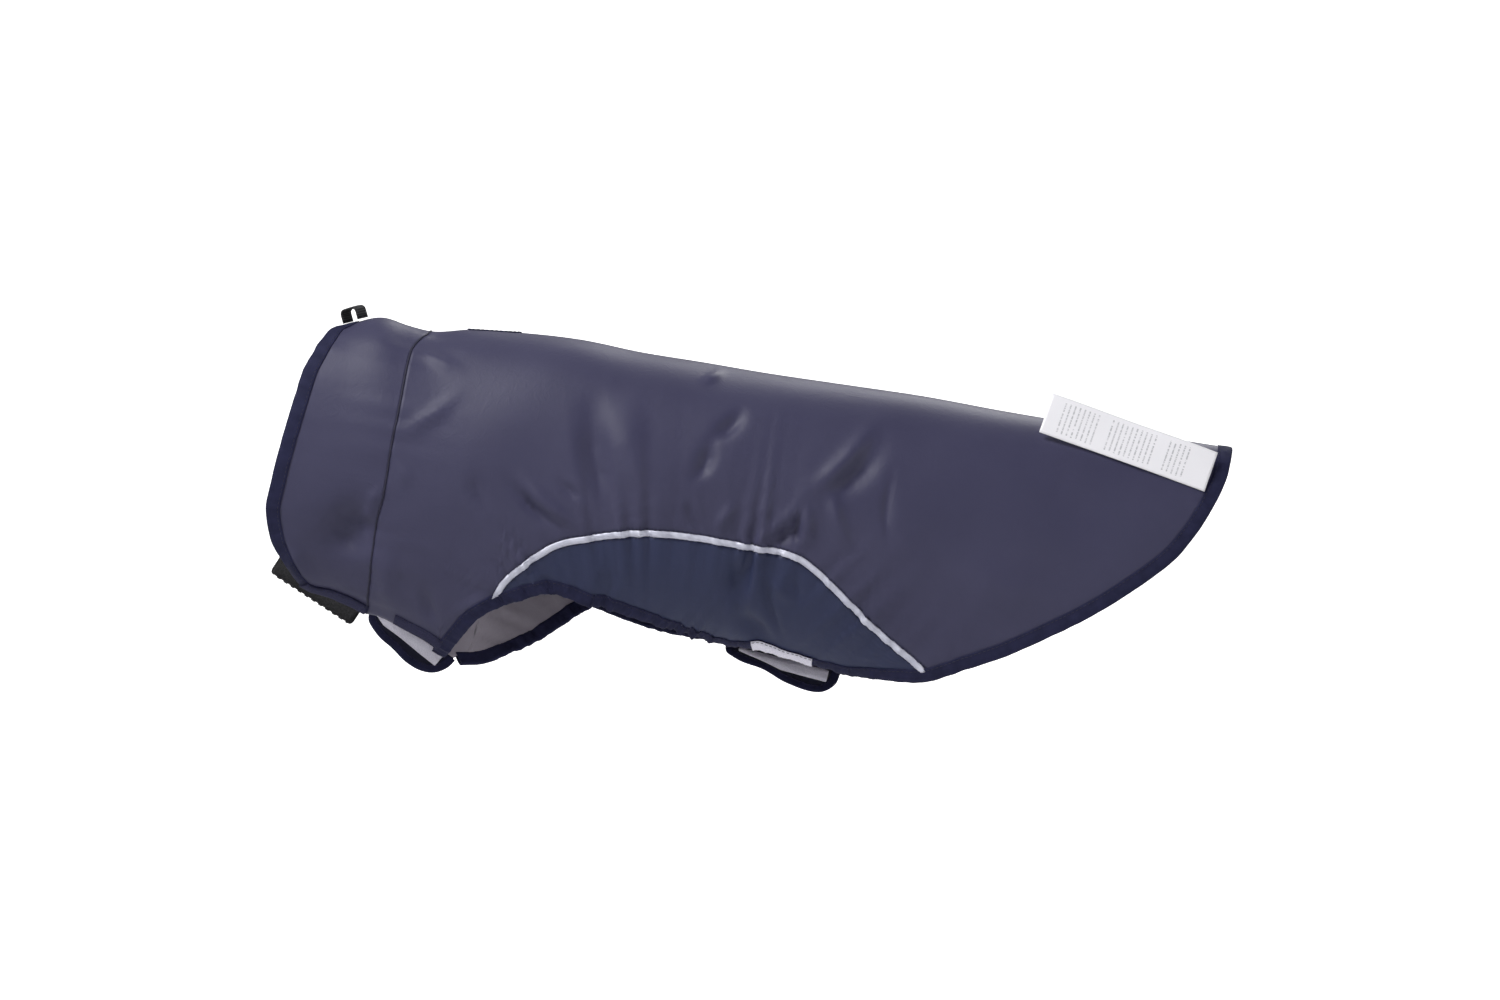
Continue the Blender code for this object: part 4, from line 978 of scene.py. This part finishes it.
# ---- fastening tapes ----
# Hook tape and loop tape, 10 mm wide, sewn flat with a bare woven selvage round a raised pile. The near
# half wears the mating strips on its outer edges.
def pile(name, colour, deep, grain):
    """Nylon fastening tape: a pile of loops or hooks about a millimetre apart on a woven ground, matt,
    painted darker where the pile is low as painted shade in its hollows.
    """
    made, shader, add = new_material(name)
    spot = add("TexCoord").outputs["Object"]
    scaled = add("Mapping", {"Vector": spot, "Scale": (1000, 1000, 1000)}).outputs["Vector"]
    loops = add("TexVoronoi", {"Vector": scaled, "Scale": grain, "Randomness": 0.9}).outputs["Distance"]
    fuzz = add("TexNoise", {"Vector": scaled, "Scale": grain * 2.4, "Detail": 4.0}).outputs["Fac"]
    height = add("Math", {0: loops, 1: fuzz}, operation="ADD").outputs["Value"]
    # The colour darkens where the pile is low: painted shade in the hollows between loops.
    tone = add("MapRange", {"Value": height, "From Min": 0.4, "From Max": 1.2}).outputs["Result"]
    mix = add("Mix", {"Factor": tone, "A": linear(deep), "B": linear(colour)}, data_type="RGBA")
    link(made, mix.outputs["Result"], shader.inputs["Base Color"])
    link(made, add("Bump", {"Height": height, "Strength": 0.6, "Distance": 0.0004}).outputs["Normal"],
         shader.inputs["Normal"])
    shader.inputs["Roughness"].default_value = 0.9
    shader.inputs["Specular IOR Level"].default_value = 0.2
    return made


grey_pile = pile("loop_pile_pale_grey", "#e6e4f1", "#cbc9da", 1.3)
navy_pile = pile("hook_pile_navy", "#31314a", "#26263d", 1.0)
black_pile = pile("hook_pile_black", "#303032", "#1d1d1f", 0.9)


def pile_section(first, last, base):
    """A sewn strip of fastening tape with a selvage on both sides of its raised pile, closed."""
    selvage, thin, thick = 0.0011, 0.0005, 0.0009
    upper = [(first, base), (first, base + thin), (first + selvage, base + thin),
             (first + selvage + 0.0002, base + thick)]
    upper += [(d, base + thick) for d in np.linspace(first + 0.003, last - 0.003, 3)]
    upper += [(last - selvage - 0.0002, base + thick), (last - selvage, base + thin), (last, base + thin),
              (last, base)]
    return np.array(upper)


def span(path, low, high):
    """The stretch of a path between two x values in mm."""
    return path[(path[:, 0] > low / 1000) & (path[:, 0] < high / 1000)]


chest_path = on_skin(-1, trace(EDGES[-1]["chest"], FINE))
belly_path = on_skin(-1, trace(EDGES[-1]["belly"], FINE))
collar_path = collar_edge(-1, FINE)
corner_x = COLLAR_CORNERS[-1][0]
STRIPS = [("chest_hook_strip", "chest_hook_tape", span(chest_path, -20, 8), 0.0010, SHELL_TOP,
           navy_pile, "hook"),
          ("belly_hook_strip", "belly_hook_tape", span(belly_path, 222, 262), 0.0004, TAPE_HIGH + 0.0004,
           grey_pile, "tape"),
          ("collar_loop_strip", "collar_loop_tape", span(collar_path[:FINE // 2], corner_x, -39), 0.0004,
           TAPE_HIGH + 0.0003, navy_pile, "hook")]
for name, node, path, first, base, material, slot in STRIPS:
    mesh = bmesh.new()
    path = dense(-1, path, 0.0012)
    swept(mesh, along_edge(-1, path, pile_section(first, first + 0.0095, base + 0.0001)))
    keep(name, mesh, material, "coat", slot, node)
    for inside in (first + 0.0008, first + 0.0087):
        line = inset(-1, path, inside)
        sew(seams, place(-1, line, base + 0.0007), cloth_normal(-1, line))

# ---- leash slit ----
# A bound buttonhole over the withers, where the leash's clip passes through to a collar or harness. Its
# raw edges are folded into narrow bias tape and sewn through with one row of stitches.
mesh = bmesh.new()
around = np.linspace(0, 2 * math.pi, 65)[:-1]
rows = []
slit_section = folded_section(SLIT_TAPE, TAPE_LOW, TAPE_HIGH, TAPE_WALL)


def slit_ring(grow):
    """Places on a long rounded ring round the slit."""
    radius = SLIT_WIDTH / 2 + grow
    ends = np.where(np.cos(around) > 0, SLIT_LENGTH - SLIT_WIDTH, 0)
    x = SLIT_START + SLIT_WIDTH / 2 + ends + radius * np.cos(around)
    _, _, width = body(1, x)
    return np.column_stack([x, radius * np.sin(around) / width])


for grow, out in slit_section:
    rows.append(lie(1, slit_ring(grow), out))
ring = np.stack(rows)
swept(mesh, np.concatenate([ring, ring[:, :1]], axis=1), closed=True)
keep("leash_slit_tape", mesh, binding_tape, "coat", "binding", "leash_slit_binding")
line = slit_ring(SLIT_TAPE - 0.0009)
sew(seams, lie(1, line, TAPE_HIGH + 0.0001), cloth_normal(1, line))
keep("edge_stitching", seams, navy_thread, "coat", "binding")


# ---- closure tabs ----
# Doubled taffeta tabs bound like the edges, with loop tape sewn to their inner faces. Each hangs from an
# edge of the right half and bends where it is sewn on.
TABS = {
    "chest": dict(lean=40, drop=0.0255, tape=0.0125, edge="chest",
                  shape=[(0, 0), (0.01, 0.3), (0.07, 0.66), (0.22, 0.86), (0.42, 0.95), (0.62, 1),
                         (0.8, 0.92), (0.93, 0.65), (0.99, 0.3), (1, 0)],
                  pile=[(0.1, 0), (0.88, 0), (0.88, 1), (0.22, 1), (0.1, 0.75)]),
    "belly": dict(lean=45, drop=0.0225, tape=0.0105, edge="belly",
                  shape=[(0, 0), (0.02, 0.3), (0.12, 0.5), (0.35, 0.66), (0.58, 0.92), (0.76, 1), (0.9, 0.88),
                         (0.98, 0.5), (1, 0)],
                  pile=[(0.12, 0), (0.9, 0), (0.9, 1), (0.5, 1), (0.3, 0.6), (0.12, 0.3)]),
}
TAB_BINDING_WIDTH = 0.006
TAB_HALF = 0.0006
TAPE_MARGIN = 0.0015
JOINTS = {joint["name"]: joint for joint in frame["joints"]}


def hinge_frame(name, lean):
    """A tab's frame from its hinge: X along the hinge, Y down the tab and Z outward."""
    joint = JOINTS[name + "_hinge"]
    along = Vector(joint["axis"]).normalized()
    down = Vector((0, 0, -1))
    down = (down - along * along.dot(down)).normalized()
    inward = along.cross(down) * -1
    fall = down * math.cos(math.radians(lean)) + inward * math.sin(math.radians(lean))
    turn = Matrix((along, fall, along.cross(fall))).transposed().to_4x4()
    return Matrix.Translation(joint["pos_m"]) @ turn


def reach_along(turn, node):
    """How far a CAD node reaches along the X axis of a frame."""
    back = turn.inverted()
    return max((back @ vert.co).x for vert in frame["nodes"][node].data.vertices)


def to_world(turn, points):
    """Points of a frame as world points."""
    rotation, origin = np.array(turn.to_3x3()), np.array(turn.translation)
    return points @ rotation.T + origin


def rounded(points, count):
    """A smooth open line through flat points."""
    knots = np.array(points)
    t = lengths(knots)
    slope = np.gradient(knots, t, axis=0)
    want = np.linspace(0, t[-1], count)
    at = np.clip(np.searchsorted(t, want) - 1, 0, len(t) - 2)
    width = (t[at + 1] - t[at])[:, None]
    s = ((want - t[at])[:, None]) / width
    start = (2 * s**3 - 3 * s**2 + 1) * knots[at] + (s**3 - 2 * s**2 + s) * width * slope[at]
    return start + (3 * s**2 - 2 * s**3) * knots[at + 1] + (s**3 - s**2) * width * slope[at + 1]


def pulled_in(line, distance):
    """The open line moved in towards the side that its ends start from."""
    heading = np.gradient(line, axis=0)
    heading[0], heading[-1] = (0, 1), (0, -1)
    heading /= np.linalg.norm(heading, axis=1)[:, None]
    moved = line + distance * np.column_stack([heading[:, 1], -heading[:, 0]])
    moved[:, 1] = np.maximum(moved[:, 1], 0)
    return moved


def curl(points, length, seed):
    """The tab's slack: a slow wave along its hinge that grows down the tab."""
    u, v = points[..., 0] / length, points[..., 1]
    wave = 0.0007 * np.sin(2 * math.pi * u * 1.3 + seed) + 0.0003 * np.sin(2 * math.pi * u * 3.1 + 2 * seed)
    lifted = points.copy()
    lifted[..., 2] += wave * np.clip(v / 0.02, 0, 1) ** 1.5
    return lifted


def flat_pile(name, outline, turn, length, seed, material, body_name, slot, node, level):
    """A cut piece of fastening tape: bare selvage all round a raised pile, sewn just inside its edge."""
    mesh = bmesh.new()
    corners = [mesh.verts.new((u, v, level)) for u, v in outline]
    face = mesh.faces.new(corners)
    bmesh.ops.bevel(mesh, geom=list(mesh.verts), offset=0.0008, segments=3, profile=0.5, affect="VERTICES",
                    material=-1)
    face = mesh.faces[:][0]
    bmesh.ops.inset_region(mesh, faces=[face], thickness=0.0010, depth=0)
    bmesh.ops.inset_region(mesh, faces=[face], thickness=0.0003, depth=0.0004)
    bmesh.ops.triangulate(mesh, faces=[face])
    bmesh.ops.subdivide_edges(mesh, edges=[e for e in mesh.edges if e.calc_length() > 0.004], cuts=2)
    bmesh.ops.triangulate(mesh, faces=mesh.faces)
    if max(vert.co.z for vert in mesh.verts) > level + 0.0001:
        for vert in mesh.verts:
            vert.co.z = 2 * level - vert.co.z
    bmesh.ops.recalc_face_normals(mesh, faces=mesh.faces)
    if sum(face.normal.z * face.calc_area() for face in mesh.faces) > 0:
        bmesh.ops.reverse_faces(mesh, faces=mesh.faces)
    points = np.array([vert.co for vert in mesh.verts])
    for vert, point in zip(mesh.verts, to_world(turn, curl(points, length, seed))):
        vert.co = point
    made = keep(name, mesh, material, body_name, slot, node)
    solid = made.modifiers.new("ground", "SOLIDIFY")
    solid.thickness = 0.0005
    solid.offset = -1
    return made


def edge_spots(edge, inside):
    """Places of the right half's edge beside a tab's hinge, some way inside the edge."""
    return inset(1, on_skin(1, trace(EDGES[1][edge], FINE)), inside)


def join_strip(name, edge, turn, length, material, slot, depth=0.004):
    """The cloth that carries a tab: it runs out of the coat's edge, over the hinge and into the tab."""
    span_x = (to_world(turn, np.array([[0, 0, 0], [length, 0, 0]])))[:, 0]
    rows = []
    for inside in (depth, 0.5 * depth, 0.001):
        path = edge_spots(edge, inside)
        turned_at = int(np.argmin(path[:, 0]))
        if turned_at > FINE // 4:
            path = path[:turned_at + 1]
        path = path[np.argsort(path[:, 0])]
        x = np.linspace(span_x[0] + 0.001, span_x[1] - 0.001, 30)
        spots = np.column_stack([x, np.interp(x, path[:, 0], path[:, 1])])
        rows.append(lie(1, spots, SHELL_TOP / 2))
    for drop in (0.0004, 0.0022, 0.004):
        flat = np.column_stack([np.linspace(0.001, length - 0.001, 30), np.full(30, drop), np.zeros(30)])
        rows.append(to_world(turn, flat))
    points = np.stack(rows)
    mesh = bmesh.new()
    add_grid(mesh, points, threads(points))
    short = [edge for edge in mesh.edges if edge.calc_length() < 0.0025]
    bmesh.ops.subdivide_edges(mesh, edges=short, cuts=1)
    bmesh.ops.triangulate(mesh, faces=mesh.faces)
    bmesh.ops.recalc_face_normals(mesh, faces=mesh.faces)
    made = keep(name, mesh, material, None, slot)
    solid = made.modifiers.new("thickness", "SOLIDIFY")
    solid.thickness = 0.0009
    solid.offset = 0
    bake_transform(made)
    return made


# The tabs are the navy shell taffeta, painted near black as painted shadow where they hang under the coat's
# edges.
tab_cloth = taffeta("coated_taffeta_tab_painted_shade", "#1c1d33", "#171828", 0.5)
for seed, (word, tab) in enumerate(TABS.items(), 1):
    body_name = word + "_tab"
    turn = hinge_frame(body_name, tab["lean"])
    length = reach_along(turn, body_name + "_binding")
    line = rounded([(u * length, v * tab["drop"]) for u, v in tab["shape"]], 90)
    inner = pulled_in(line, TAB_BINDING_WIDTH - 0.0015)
    inner = inner[inner[:, 1] > 0.0001]
    steps = np.linspace(inner[:, 0].min(), inner[:, 0].max(), 44)
    order = np.argsort(inner[:, 0])
    foot = np.maximum(np.interp(steps, inner[order, 0], inner[order, 1]), 0.001)
    grid = np.zeros((15, len(steps), 3))
    grid[..., 0] = steps
    grid[..., 1] = np.linspace(0, 1, 15)[:, None] * foot
    swell = np.sin(math.pi * np.linspace(0, 1, 15))[:, None]
    grid[..., 2] = 0.0005 * np.sin(grid[..., 0] / 0.0042 + seed) * swell
    mesh = bmesh.new()
    points = to_world(turn, curl(grid, length, seed))
    add_grid(mesh, points, threads(points))
    bmesh.ops.recalc_face_normals(mesh, faces=mesh.faces)
    cloth = keep(word + "_tab_cloth", mesh, tab_cloth, body_name, "tab_cloth", body_name)
    thick = cloth.modifiers.new("thickness", "SOLIDIFY")
    thick.thickness = 2 * TAB_HALF
    thick.offset = 0
    rows = []
    for distance, out in folded_section(TAB_BINDING_WIDTH, -0.0008, 0.0008, TAPE_WALL / 2):
        flat = pulled_in(line, distance)
        rise = math.sin(math.pi * distance / TAB_BINDING_WIDTH)
        ripple = 0.00025 * waver(lengths(line) * 1000, 7, seed) * rise
        rows.append(np.column_stack([flat, out + ripple * np.sign(out)]))
    mesh = bmesh.new()
    swept(mesh, to_world(turn, curl(np.stack(rows), length, seed)))
    keep(word + "_tab_tape", mesh, binding_tape, body_name, "binding", body_name + "_binding")
    outline = [(u * length, TAPE_MARGIN + v * tab["tape"]) for u, v in tab["pile"]]
    flat_pile(word + "_loop_strip", outline, turn, length, seed, grey_pile, body_name, "tape",
              word + "_loop_tape", -TAB_HALF - 0.0006)
    stitches = bmesh.new()
    closed = np.array(outline + outline[:1])
    middle = closed[:-1].mean(axis=0)
    spread = [np.linspace(a, b, 12, endpoint=False) for a, b in zip(closed, closed[1:])]
    ring = np.vstack(spread + [closed[-1:]])
    ring = middle + (ring - middle) * (1 - 0.0011 / np.linalg.norm(ring - middle, axis=1))[:, None]
    flat = curl(np.column_stack([ring, np.full(len(ring), -TAB_HALF - 0.00066)]), length, seed)
    outward = np.array(turn.to_3x3().col[2])
    sew(stitches, to_world(turn, flat), np.tile(-outward, (len(ring), 1)))
    keep(word + "_loop_stitching", stitches, grey_thread, body_name, "tape")
    stitches = bmesh.new()
    seam = pulled_in(line, TAB_BINDING_WIDTH - 0.0012)[6:-6]
    for face in (-1, 1):
        flat = curl(np.column_stack([seam, np.full(len(seam), face * 0.0009)]), length, seed)
        sew(stitches, to_world(turn, flat), np.tile(face * outward, (len(seam), 1)))
    keep(word + "_tab_stitching", stitches, navy_thread, body_name, "binding")
    join_strip(word + "_tab_join", word, turn, length, tab_cloth, "tab_cloth")

# ---- collar closure ----
# A stiff black strip of hook tape on the right half of the collar, cut to a slightly ragged lower edge.
# It is a ribbed nylon ground with the hooks on its inner face, sewn to the collar's edge.
webbing, shader, add = new_material("hook_tape_ground_black")
spot = add("Attribute", attribute_name="thread").outputs["Vector"]
scaled = add("Mapping", {"Vector": spot, "Scale": (1000, 1000, 1000)}).outputs["Vector"]
ribs = add("TexWave", {"Vector": scaled, "Scale": 0.2, "Distortion": 0.5, "Detail": 1.0},
           bands_direction="X").outputs["Fac"]
# The rib crests are painted lighter and the valleys darker: painted highlight and shade that follow the rib
# bumps.
tone = add("Mix", {"Factor": ribs, "A": linear("#1d1d1f"), "B": linear("#39393c")}, data_type="RGBA")
link(webbing, tone.outputs["Result"], shader.inputs["Base Color"])
link(webbing, add("Bump", {"Height": ribs, "Strength": 0.5, "Distance": 0.0003}).outputs["Normal"],
     shader.inputs["Normal"])
shader.inputs["Roughness"].default_value = 0.78
shader.inputs["Specular IOR Level"].default_value = 0.2

COLLAR_TAB_DROP, COLLAR_TAB_CORNER = 0.0245, 0.003
turn = hinge_frame("collar_tab", 6)
length = reach_along(turn, "collar_tab")
steps = np.linspace(0, length, 120)
corner = COLLAR_TAB_CORNER
ends = np.minimum(steps, length - steps)
round_off = corner - np.sqrt(np.maximum(corner**2 - (corner - ends)**2, 0))
foot = COLLAR_TAB_DROP - np.where(ends < corner, round_off, 0)
foot += 0.00035 * np.sign(np.sin(steps / 0.0009)) * (ends > corner)
grid = np.zeros((22, len(steps), 3))
grid[..., 0] = steps
grid[..., 1] = np.linspace(0, 1, 22)[:, None] * foot
mesh = bmesh.new()
points = to_world(turn, curl(grid, length, 3))
add_grid(mesh, points, threads(points))
bmesh.ops.recalc_face_normals(mesh, faces=mesh.faces)
collar_strip = keep("collar_tab_strip", mesh, webbing, "collar_tab", "black", "collar_tab")
thick = collar_strip.modifiers.new("thickness", "SOLIDIFY")
thick.thickness = 2 * TAB_HALF
thick.offset = 0
rim = TAPE_MARGIN
outline = [(rim, rim), (length - rim, rim), (length - rim, COLLAR_TAB_DROP - corner),
           (length - corner, COLLAR_TAB_DROP - rim), (corner, COLLAR_TAB_DROP - rim),
           (rim, COLLAR_TAB_DROP - corner)]
flat_pile("collar_tab_pile", outline, turn, length, 3, black_pile, "collar_tab", "black", "collar_tab_hooks",
          -TAB_HALF - 0.0006)
join_strip("collar_tab_join", "collar", turn, length, webbing, "black")

# ---- care label ----
# White polyester satin ribbon, sewn in at its tail end and loose along the rest, so that it curls a
# little. Its print is rows of grey marks that spell nothing.
satin, shader, add = new_material("printed_satin_ribbon_white")
spot = add("Attribute", attribute_name="thread").outputs["Vector"]
scaled = add("Mapping", {"Vector": spot, "Scale": (1000, 1000, 1000)}).outputs["Vector"]
parts = add("SeparateXYZ", {"Vector": scaled})
cell = add("CombineXYZ")
letters = add("TexNoise", {"Vector": cell.outputs["Vector"], "Scale": 1.0, "Detail": 2.0})
LINE_PITCH = 3.4
PRINT_SUMS = [
    ("lines", "DIVIDE", "u", LINE_PITCH), ("share", "FRACT", "lines", 0.0), ("row", "FLOOR", "lines", 0.0),
    ("across", "MULTIPLY", "row", 7.3), ("down", "MULTIPLY", "v", 1.5),
    ("line_top", "GREATER_THAN", "share", 0.30), ("line_foot", "LESS_THAN", "share", 0.62),
    ("in_line", "MULTIPLY", "line_top", "line_foot"), ("letter", "GREATER_THAN", "letters", 0.47),
    ("ink", "MULTIPLY", "in_line", "letter"), ("low_margin", "GREATER_THAN", "v", 3.5),
    ("high_margin", "LESS_THAN", "v", 25.5), ("margin", "MULTIPLY", "low_margin", "high_margin"),
    ("head", "GREATER_THAN", "u", 16.0), ("foot", "LESS_THAN", "u", 108.0),
    ("block", "MULTIPLY", "head", "foot"),
    ("off_first", "SUBTRACT", "u", 38.0), ("far_first", "ABSOLUTE", "off_first", 0.0),
    ("first_gap", "LESS_THAN", "far_first", 3.0), ("off_second", "SUBTRACT", "u", 78.0),
    ("far_second", "ABSOLUTE", "off_second", 0.0), ("second_gap", "LESS_THAN", "far_second", 4.0),
    ("gaps", "ADD", "first_gap", "second_gap"), ("gap", "MINIMUM", "gaps", 1.0),
    ("open", "SUBTRACT", 1.0, "gap"), ("inside", "MULTIPLY", "ink", "margin"),
    ("printable", "MULTIPLY", "block", "open"), ("printed", "MULTIPLY", "inside", "printable"),
    ("faded", "MULTIPLY", "printed", 0.55)]
sums = {"u": parts.outputs["X"], "v": parts.outputs["Y"], "letters": letters.outputs["Fac"]}
for result, operation, *terms in PRINT_SUMS:
    values = {i: sums.get(term, term) for i, term in enumerate(terms)}
    sums[result] = add("Math", values, operation=operation).outputs["Value"]
link(satin, sums["across"], cell.inputs["X"])
link(satin, sums["down"], cell.inputs["Y"])
tone = add("Mix", {"Factor": sums["faded"], "A": linear("#efeef3"), "B": linear("#7d7d86")}, data_type="RGBA")
link(satin, tone.outputs["Result"], shader.inputs["Base Color"])
threads_run = add("TexWave", {"Vector": scaled, "Scale": 0.8, "Distortion": 0.3}, bands_direction="Y")
link(satin, add("Bump", {"Height": threads_run.outputs["Fac"], "Strength": 0.1, "Distance": 0.0001})
     .outputs["Normal"], shader.inputs["Normal"])
shader.inputs["Roughness"].default_value = 0.42
shader.inputs["Sheen Weight"].default_value = 0.1

LABEL_LENGTH, LABEL_WIDTH = 0.118, 0.029
LABEL_RUN = Vector((-115.5, -1, 42)).normalized()
joint = JOINTS["care_label_hinge"]
up = Vector(joint["axis"]).normalized()
turn = Matrix.Translation(joint["pos_m"]) @ Matrix((LABEL_RUN, up, LABEL_RUN.cross(up))).transposed().to_4x4()
grid = np.zeros((16, 64, 3))
grid[..., 0] = np.linspace(0, LABEL_LENGTH, 64)
grid[..., 1] = np.linspace(0, LABEL_WIDTH, 16)[:, None]
share = grid[..., 0] / LABEL_LENGTH
grid[..., 2] = -0.0012 * np.sin(math.pi * share * 1.6) * share
grid[..., 2] -= 0.0008 * np.sin(share * 9) * (grid[..., 1] / LABEL_WIDTH)
mesh = bmesh.new()
add_grid(mesh, to_world(turn, grid), threads(grid))
bmesh.ops.recalc_face_normals(mesh, faces=mesh.faces)
label = keep("care_label_ribbon", mesh, satin, "care_label", "label", "care_label")
thick = label.modifiers.new("thickness", "SOLIDIFY")
thick.thickness = 0.0003
thick.offset = 0

# ---- hang loop ----
# A short loop of ribbed black webbing, its two feet sewn to the top of the collar's front edge and
# turned on them, so that its face shows from the side.
LOOP_LENGTH, LOOP_HEIGHT, LOOP_WIDTH, LOOP_HALF = 0.015, 0.0095, 0.010, 0.0008
LOOP_CORNER = 0.0032
LOOP_TWIST = math.radians(38)
feet = chart([(-53.5, 4.6), (-40, 8.4)])
slope = math.atan2(feet[1, 1] - feet[0, 1], feet[1, 0] - feet[0, 0])
lift = TAPE_HIGH + 0.0001
left, right, top = LOOP_HALF, LOOP_LENGTH - LOOP_HALF, LOOP_HEIGHT - LOOP_HALF
bend = [(LOOP_CORNER * (1 - math.cos(t)), LOOP_CORNER * math.sin(t)) for t in np.linspace(0, math.pi / 2, 8)]
path = [(left, 0), (left, 0.003)] + [(left + a, top - LOOP_CORNER + b) for a, b in bend]
path += [(right - a, top - LOOP_CORNER + b) for a, b in bend[::-1]] + [(right, 0.003), (right, 0)]
path = np.array(path)
heading = np.gradient(path, axis=0)
heading /= np.linalg.norm(heading, axis=1)[:, None]
normal = np.column_stack([-heading[:, 1], heading[:, 0]])
half = LOOP_WIDTH / 2
ribbon = [(w, LOOP_HALF * (1 - 0.25 * (abs(w) / half) ** 4)) for w in np.linspace(-half, half, 9)]
ribbon += [(w, -n) for w, n in ribbon[::-1]]
rows = []
for w, n in ribbon:
    flat = path + n * normal
    along = (flat[:, 0] - LOOP_LENGTH / 2) * math.cos(LOOP_TWIST) + w * math.sin(LOOP_TWIST) + LOOP_LENGTH / 2
    across = w * math.cos(LOOP_TWIST) - (flat[:, 0] - LOOP_LENGTH / 2) * math.sin(LOOP_TWIST)
    x = feet[0, 0] - math.sin(slope) * lift + along * math.cos(slope) - flat[:, 1] * math.sin(slope)
    z = feet[0, 1] + math.cos(slope) * lift + along * math.sin(slope) + flat[:, 1] * math.cos(slope)
    rows.append(np.column_stack([x, across, z]))
mesh = bmesh.new()
swept(mesh, np.stack(rows))
keep("hang_loop_webbing", mesh, webbing, "coat", "black", "hang_loop")
